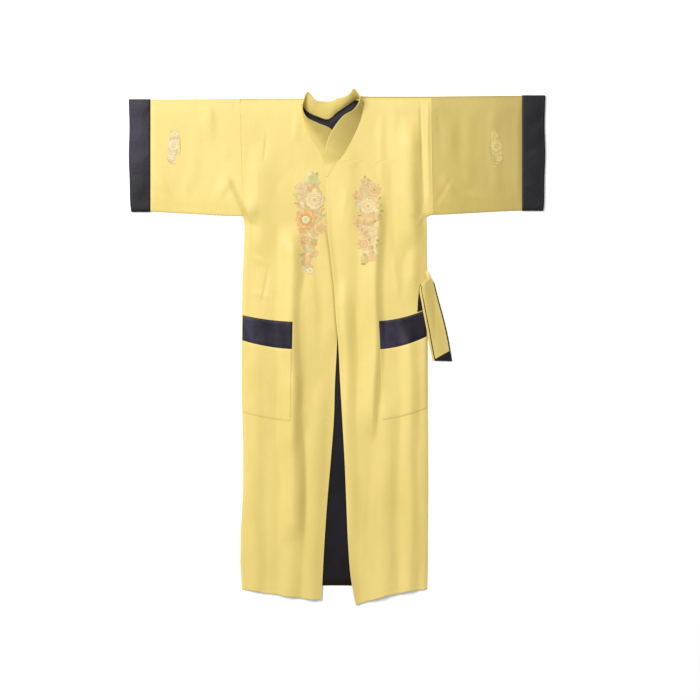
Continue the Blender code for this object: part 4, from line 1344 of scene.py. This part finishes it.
def petals(x, y, radius, count, turn, inner, outer, start=0.2, layer=0.12, pitch=1.05):
    """A ring of rounded petals, each a fan of stitches in two shades."""
    stitches = []
    each = max(5, round(2 * math.pi * radius * 0.86 / count / pitch))
    for petal in range(count):
        middle = turn + 2 * math.pi * petal / count
        for step in range(each):
            share = step / (each - 1) - 0.5
            angle = middle + share * 2 * math.pi / count
            reach = radius * (1 - PETAL_ROUND + PETAL_ROUND * math.cos(math.pi * share)) * (
                1 + 0.04 * math.sin(7 * angle + petal))
            half = reach * (PETAL_SPLIT + 0.06 * (step % 2))
            stitches.append((*point_at(x, y, angle, radius * start),
                             *point_at(x, y, angle, half), pitch * 1.1, inner, layer))
            stitches.append((*point_at(x, y, angle, half * 0.94),
                             *point_at(x, y, angle, reach), pitch * 1.35, outer, layer + 0.03))
    return stitches


# %% The ground between flowers
SHORTEST = 1.5          # a shorter stitch is left out


def ground(rows, colours, pitch=1.3, length=9.0):
    """A cloud of level stitches between two wavy edges, in patches of colour. The rows give y,
    the middle x and half the width."""
    table = np.array(rows, dtype=float)
    stitches = []
    for line, y in enumerate(np.arange(table[0, 0], table[-1, 0], pitch)):
        middle = np.interp(y, table[:, 0], table[:, 1])
        half = np.interp(y, table[:, 0], table[:, 2]) + 2.2 * math.sin(y / 5.5) + math.sin(y / 2.3)
        shift = length * ((0.37 * line) % 1)
        for start in np.arange(middle - half - shift, middle + half, length):
            first, last = max(start, middle - half), min(start + length, middle + half)
            if last - first > SHORTEST:
                patch_of = math.sin(first / 15 + y / 23) + math.sin(first / 31 - y / 17 + 1)
                colour = colours[int((patch_of + 2) / 4.001 * len(colours))]
                stitches.append((first, y, last, y + 0.5, pitch * 1.2, colour, -0.05))
    return stitches


# %% Flowers
GOLDEN_ANGLE = 2.4      # each knot is turned this much from the last, so that they spread evenly
KNOT_HALF = 0.7


def knots(x, y, radius, count, colour, layer=0.3):
    """French knots round a flower's heart."""
    stitches = []
    for knot in range(count):
        angle = GOLDEN_ANGLE * knot
        reach = radius * math.sqrt((knot + 0.5) / count)
        spot = point_at(x, y, angle, reach)
        stitches.append((spot[0] - KNOT_HALF, spot[1], spot[0] + KNOT_HALF, spot[1], 1.3, colour,
                         layer))
    return stitches


def blossom(x, y, radius, turn, inner="coral", outer="peach", heart="blush"):
    """Five petals round a heart of knots."""
    return (petals(x, y, radius, 5, turn, inner, outer)
            + knots(x, y, radius * 0.22, 6, heart))


def peony(x, y, radius, turn, inner="coral", outer="peach", core="cream", heart="leaf"):
    """Three rings of petals, one on another, round a small heart."""
    return (petals(x, y, radius, 9, turn, inner, outer, 0.5)
            + petals(x, y, radius * 0.66, 7, turn + 0.3, core, inner, 0.3, 0.24)
            + petals(x, y, radius * 0.36, 5, turn + 0.1, heart, core, 0.15, 0.36)
            + knots(x, y, radius * 0.1, 4, heart, 0.5))


# %% Leaves and stems
STITCH_ANGLE = 0.95     # between a leaf's stitches and its midrib
LEAF_ANGLE = 0.85       # between a leaf and its stem
RUN_ON = 1.12           # a stem's stitch runs on under the next one


def leaf(x, y, angle, length, width, colour, pitch=0.95, layer=0.02):
    """Slanted stitches from the midrib to both edges of a pointed leaf."""
    stitches = []
    count = max(4, round(length / pitch))
    for step in range(count):
        share = (step + 0.5) / count
        rib = point_at(x, y, angle, share * length)
        half = width / 2 * math.sin(math.pi * share ** 0.8) + 0.3
        for side in (-1, 1):
            tip = point_at(*rib, angle + side * STITCH_ANGLE, half * 1.25)
            stitches.append((*rib, *tip, pitch * 1.05, colour, layer))
    return stitches


def stem(points, colour, width=1.1, layer=0.0, length=3.4):
    """Stitches end to end along a smooth line."""
    path = smooth_rows(np.array(points, dtype=float), length)
    return [(*a, *(a + (b - a) * RUN_ON), width, colour, layer) for a, b in zip(path, path[1:])]


def spray(points, leaf_length, leaf_colours, spacing, stem_colour="olive"):
    """A stem with leaves to its left and right."""
    path = smooth_rows(np.array(points, dtype=float), spacing)
    stitches = stem(points, stem_colour)
    for i, (a, b) in enumerate(zip(path, path[1:])):
        along = math.atan2(b[1] - a[1], b[0] - a[0])
        side = 1 if i % 2 else -1
        length = leaf_length * (0.82 + 0.18 * math.sin(1.9 * i))
        stitches += leaf(*a, along + side * LEAF_ANGLE, length, length * 0.42,
                         leaf_colours[i % len(leaf_colours)])
    return stitches


# %% Embroidery on the fronts
right_flowers = (
    ground([(206, -70, 8), (228, -82, 13), (262, -76, 17), (290, -78, 25), (330, -72, 32),
            (372, -76, 35), (404, -74, 30), (436, -76, 27), (458, -66, 14), (476, -66, 6)],
           ["peach", "blush", "coral", "peach", "cream", "coral"])
    + spray([(-74, 202), (-88, 240), (-72, 284), (-62, 326), (-88, 368), (-72, 414), (-58, 446),
             (-68, 474)], 22, ["leaf", "cream", "old_gold", "mint", "peach"], 10)
    + spray([(-62, 326), (-44, 352), (-42, 384)], 17, ["coral", "mint", "peach"], 9)
    + spray([(-88, 368), (-108, 396), (-104, 430)], 17, ["coral", "peach", "mint"], 9)
    + peony(-84, 346, 29, 0.2, "rust", "coral", "cream", "mint")
    + peony(-60, 398, 29, 0.9, "peach", "blush", "cream", "old_gold")
    + peony(-96, 430, 18, 0.4, "peach", "blush", "blush", "old_gold")
    + peony(-47, 322, 17, 1.0, "coral", "peach", "peach", "old_gold")
    + peony(-86, 290, 19, 0.5, "coral", "peach", "peach", "old_gold")
    + blossom(-62, 256, 13, 0.2, "coral", "peach") + blossom(-86, 236, 13, 0.8, "coral", "peach")
    + blossom(-66, 456, 14, 0.1, "leaf", "mint", "mint")
    + blossom(-72, 208, 10, 0.5, "cream", "cream", "old_gold"))
left_flowers = (
    ground([(228, 76, 9), (250, 92, 20), (276, 84, 26), (306, 88, 24), (330, 80, 27),
            (356, 92, 24), (384, 78, 30), (414, 82, 30), (440, 84, 22), (458, 74, 8)],
           ["peach", "blush", "peach", "cream", "old_gold", "peach"])
    + spray([(64, 226), (88, 260), (76, 304), (98, 344), (74, 388), (86, 424), (70, 458)], 18,
            ["olive", "peach", "old_gold", "coral"], 9, "old_gold")
    + spray([(76, 304), (52, 330), (58, 366)], 14, ["olive", "peach"], 8, "old_gold")
    + spray([(98, 344), (115, 372), (108, 410)], 14, ["leaf", "coral"], 8, "old_gold")
    + spray([(88, 260), (108, 272), (114, 296)], 12, ["peach", "olive"], 8, "old_gold")
    + peony(72, 280, 19, 0.3, "coral", "peach", "blush", "old_gold")
    + blossom(98, 312, 15, 0.8, "peach", "blush")
    + blossom(60, 342, 15, 0.1, "coral", "peach")
    + peony(84, 382, 24, 0.4, "peach", "blush", "cream", "old_gold")
    + blossom(54, 412, 14, 0.6, "coral", "peach")
    + peony(101, 426, 18, 0.2, "coral", "peach", "peach", "olive")
    + blossom(95, 244, 12, 0.5, "coral", "peach") + blossom(111, 352, 11, 0.9, "coral", "peach")
    + blossom(72, 448, 12, 0.2, "old_gold", "peach"))
for wearer, flowers in (("right", right_flowers), ("left", left_flowers)):
    sew(wearer + "_front_embroidery", flowers, surface_of([fronts[wearer]]))

# %% Embroidery on the sleeves
def pale_spray(x, y, mirror, light, soft):
    """A small pale spray in two silks, for a sleeve."""
    def at(points):
        return [(x + mirror * px, y + py) for px, py in points]
    return (ground([(y - 42, x - 6 * mirror, 5), (y - 22, x - 4 * mirror, 11), (y + 6, x, 15),
                    (y + 30, x + 3 * mirror, 10), (y + 46, x + 6 * mirror, 4)],
                   [light, soft, light])
            + spray(at([(10, -50), (-6, -20), (8, 12), (-2, 46)]), 13, [light, soft], 9, light)
            + stem(at([(4, 48), (16, 24), (19, 0), (14, -20)]), "olive", 1.4)
            + stem(at([(-4, -46), (-14, -38), (-16, -26)]), "olive", 1.2)
            + peony(x, y + 6, 17, 0.3, light, light, soft, light)
            + blossom(x - mirror * 7, y - 28, 12, 0.6, light, soft, light)
            + blossom(x + mirror * 6, y + 36, 10, 0.2, soft, light, light))


sew("right_sleeve_embroidery", pale_spray(-441, 541, 1, "cream", "blush"),
    surface_of([sleeves["right"]]))
sew("left_sleeve_embroidery", pale_spray(431, 538, -1, "straw", "gold"),
    surface_of([sleeves["left"]]))

# %% Embroidery on the back
BACK_THREAD_HEIGHT = 0.28
BACK_GARLAND = [(-50, -20), (36, 60), (-30, 160), (44, 260), (-34, 360), (30, 450), (-8, 520)]
back_flowers = spray(BACK_GARLAND, 44, ["mint", "cream", "old_gold"], 26, "old_gold")
for x, y, radius, turn, inner, outer in (
        (4, 350, 62, 0.2, "cream", "mint"), (-12, 205, 48, 0.7, "blush", "cream"),
        (16, 80, 54, 0.4, "cream", "blush"), (-50, 470, 30, 0.1, "blush", "cream"),
        (62, 455, 24, 0.5, "cream", "mint"), (70, 235, 26, 0.3, "mint", "cream"),
        (-76, 250, 24, 0.8, "cream", "blush"), (-66, 110, 28, 0.2, "mint", "cream"),
        (-20, -6, 26, 0.6, "blush", "cream"), (78, 10, 20, 0.3, "cream", "mint")):
    back_flowers += petals(x, y, radius, 9, turn, inner, outer, 0.5, 0.0, 2.3)
    back_flowers += petals(x, y, radius * 0.46, 6, turn, outer, inner, 0.2, 0.0, 2.0)
sew("back_embroidery", back_flowers, surface_of([back], from_below=True), -1, BACK_THREAD_HEIGHT)

# %% [markdown]
# ## Top stitching
# Rows of running stitches hold down the hems, the front edges, the pockets and the cuffs, in
# thread of the cloth's own colour.

# %% Rows of running stitches
DASH = 2.4
DASH_PITCH = 3.6
DASH_WIDTH = 0.55
DASH_HEIGHT = 0.22


def running(path, colour, layer=0.0):
    """Even dashes along a line of x, y points."""
    path = np.asarray(path)[:, :2]
    reach = np.concatenate([[0], np.cumsum(np.linalg.norm(np.diff(path, axis=0), axis=1))])
    starts = np.arange(DASH_PITCH / 2, reach[-1] - DASH, DASH_PITCH)
    ends = starts + DASH
    xs, ys = path[:, 0], path[:, 1]
    return [(np.interp(a, reach, xs), np.interp(a, reach, ys), np.interp(b, reach, xs),
             np.interp(b, reach, ys), DASH_WIDTH, colour, layer) for a, b in zip(starts, ends)]


def top_stitch(name, lines, colour, piece):
    """Dashes along some lines, on one piece of cloth."""
    dashes = [dash for line in lines for dash in running(line, colour)]
    sew(name, dashes, surface_of([piece]), 1, DASH_HEIGHT)


# %% Sew the edges down
EDGE_STEP = 12.0
EDGE_INSET = 0.972      # share of a front's width where its edge is stitched
HEM_ROW_UP = 16.0       # the hem is stitched this far up
HEM_SHARES = np.linspace(0.05, 0.97, 60)
NEAR_ROW = 4            # the cuff's rows of stitches, from its seam and from its open end
FAR_ROW = 5
CUFF_ROW_INSET = 5      # they stop this far from the cuff's folded edges
CUFF_ROW_POINTS = 30
for wearer in ("right", "left"):
    table = smooth_rows(FRONT_ROWS[wearer], EDGE_STEP)
    edge = front_points(wearer, table, np.array([EDGE_INSET]))[:, 0]
    hem = front_points(wearer, table[-1:], HEM_SHARES)[0] + np.array([0, HEM_ROW_UP, 0])
    top_stitch(wearer + "_front_stitching", [edge, hem], "gold", fronts[wearer])

    mouth, band_end, foot = POCKET_YS[wearer]
    grid = patch(wearer, band_end, foot, 0.0, POCKET_THICK)[0]
    sides = np.concatenate([grid[1:-1, 1], grid[-2, 1:-1], grid[-2:0:-1, -2]])
    top_stitch(wearer + "_pocket_stitching", [sides], "gold", patches[wearer + "_pocket"])
    grid = patch(wearer, mouth, band_end, 0.0, MOUTH_THICK)[0]
    top_stitch(wearer + "_pocket_band_stitching", [grid[1, 1:-1], grid[-2, 1:-1]], "violet",
               patches[wearer + "_pocket_band"])

    end_x, low_y, high_y = SLEEVES[wearer][-1]
    down = np.linspace(high_y - CUFF_ROW_INSET, low_y + CUFF_ROW_INSET, CUFF_ROW_POINTS)
    near = np.stack([0 * down + end_x + OUTWARD[wearer] * NEAR_ROW, down], axis=1)
    far = np.stack([cuff_end_x(wearer, down) - OUTWARD[wearer] * FAR_ROW, down], axis=1)
    top_stitch(wearer + "_cuff_stitching", [near, far], "violet", cuffs[wearer])

# %% [markdown]

# %% [markdown]
# ## Camera, floor and light
# The robe is seen from straight above. A large square lamp at the upper left gives soft light that
# fades a little towards the hem and the far sleeve, and a pale sky fills the shadows.

# %% Floor
WHITE = (1.0, 1.0, 1.0, 1.0)
FLOOR_HALF = 6
FLOOR_Z = -0.0002       # just under the robe, so that the two don't flicker
corners = [(side * FLOOR_HALF, end * FLOOR_HALF, 0)
           for side, end in ((-1, -1), (1, -1), (1, 1), (-1, 1))]
floor_mesh = bpy.data.meshes.new("floor")
floor_mesh.from_pydata(corners, [], [(0, 1, 2, 3)])
floor = bpy.data.objects.new("floor", floor_mesh)
floor.location.z = FLOOR_Z
bpy.context.scene.collection.objects.link(floor)
floor_material, floor_tree, floor_shader = new_material("pale_floor")
floor_shader.inputs["Base Color"].default_value = (0.98, 0.98, 0.98, 1.0)
floor_shader.inputs["Emission Color"].default_value = WHITE
floor_shader.inputs["Emission Strength"].default_value = 0.16
floor_shader.inputs["Roughness"].default_value = 0.9
floor_mesh.materials.append(floor_material)

# %% Camera
CAMERA_HEIGHT = 6.0
SENSOR = 36.0
VIEW_WIDTH = 1.89       # metres across the picture, at the robe
VIEW_CENTRE = (0.0351, -0.0061)
camera_data = bpy.data.cameras.new("camera")
camera = bpy.data.objects.new("camera", camera_data)
camera.location = (*VIEW_CENTRE, CAMERA_HEIGHT)
camera_data.sensor_width = SENSOR
camera_data.lens = SENSOR * (CAMERA_HEIGHT - FRONT_TOP_Z * MM) / VIEW_WIDTH
bpy.context.scene.collection.objects.link(camera)
bpy.context.scene.camera = camera
print("lens:", round(camera_data.lens, 1), "mm")

# %% Light
LAMP_PLACE = Vector((-2.2, 2.1, 4.4))
LAMP_AIM = Vector((-0.05, 0.1, 0.0))
LAMP_SIDE = 3.0
LAMP_WATTS = 262.0
SKY_STRENGTH = 0.4
lamp_data = bpy.data.lights.new("softbox", "AREA")
lamp_data.shape = "SQUARE"
lamp_data.size = LAMP_SIDE
lamp_data.energy = LAMP_WATTS
lamp = bpy.data.objects.new("softbox", lamp_data)
lamp.location = LAMP_PLACE
lamp.rotation_euler = (LAMP_PLACE - LAMP_AIM).to_track_quat("Z", "Y").to_euler()
bpy.context.scene.collection.objects.link(lamp)

world = bpy.data.worlds.new("studio")
world.use_nodes = True
sky = world.node_tree.nodes["Background"]
sky.inputs["Color"].default_value = WHITE
sky.inputs["Strength"].default_value = SKY_STRENGTH
bpy.context.scene.world = world
bpy.context.scene.view_settings.view_transform = "Standard"
print("lamp:", lamp_data.energy, "W, sky:", SKY_STRENGTH)
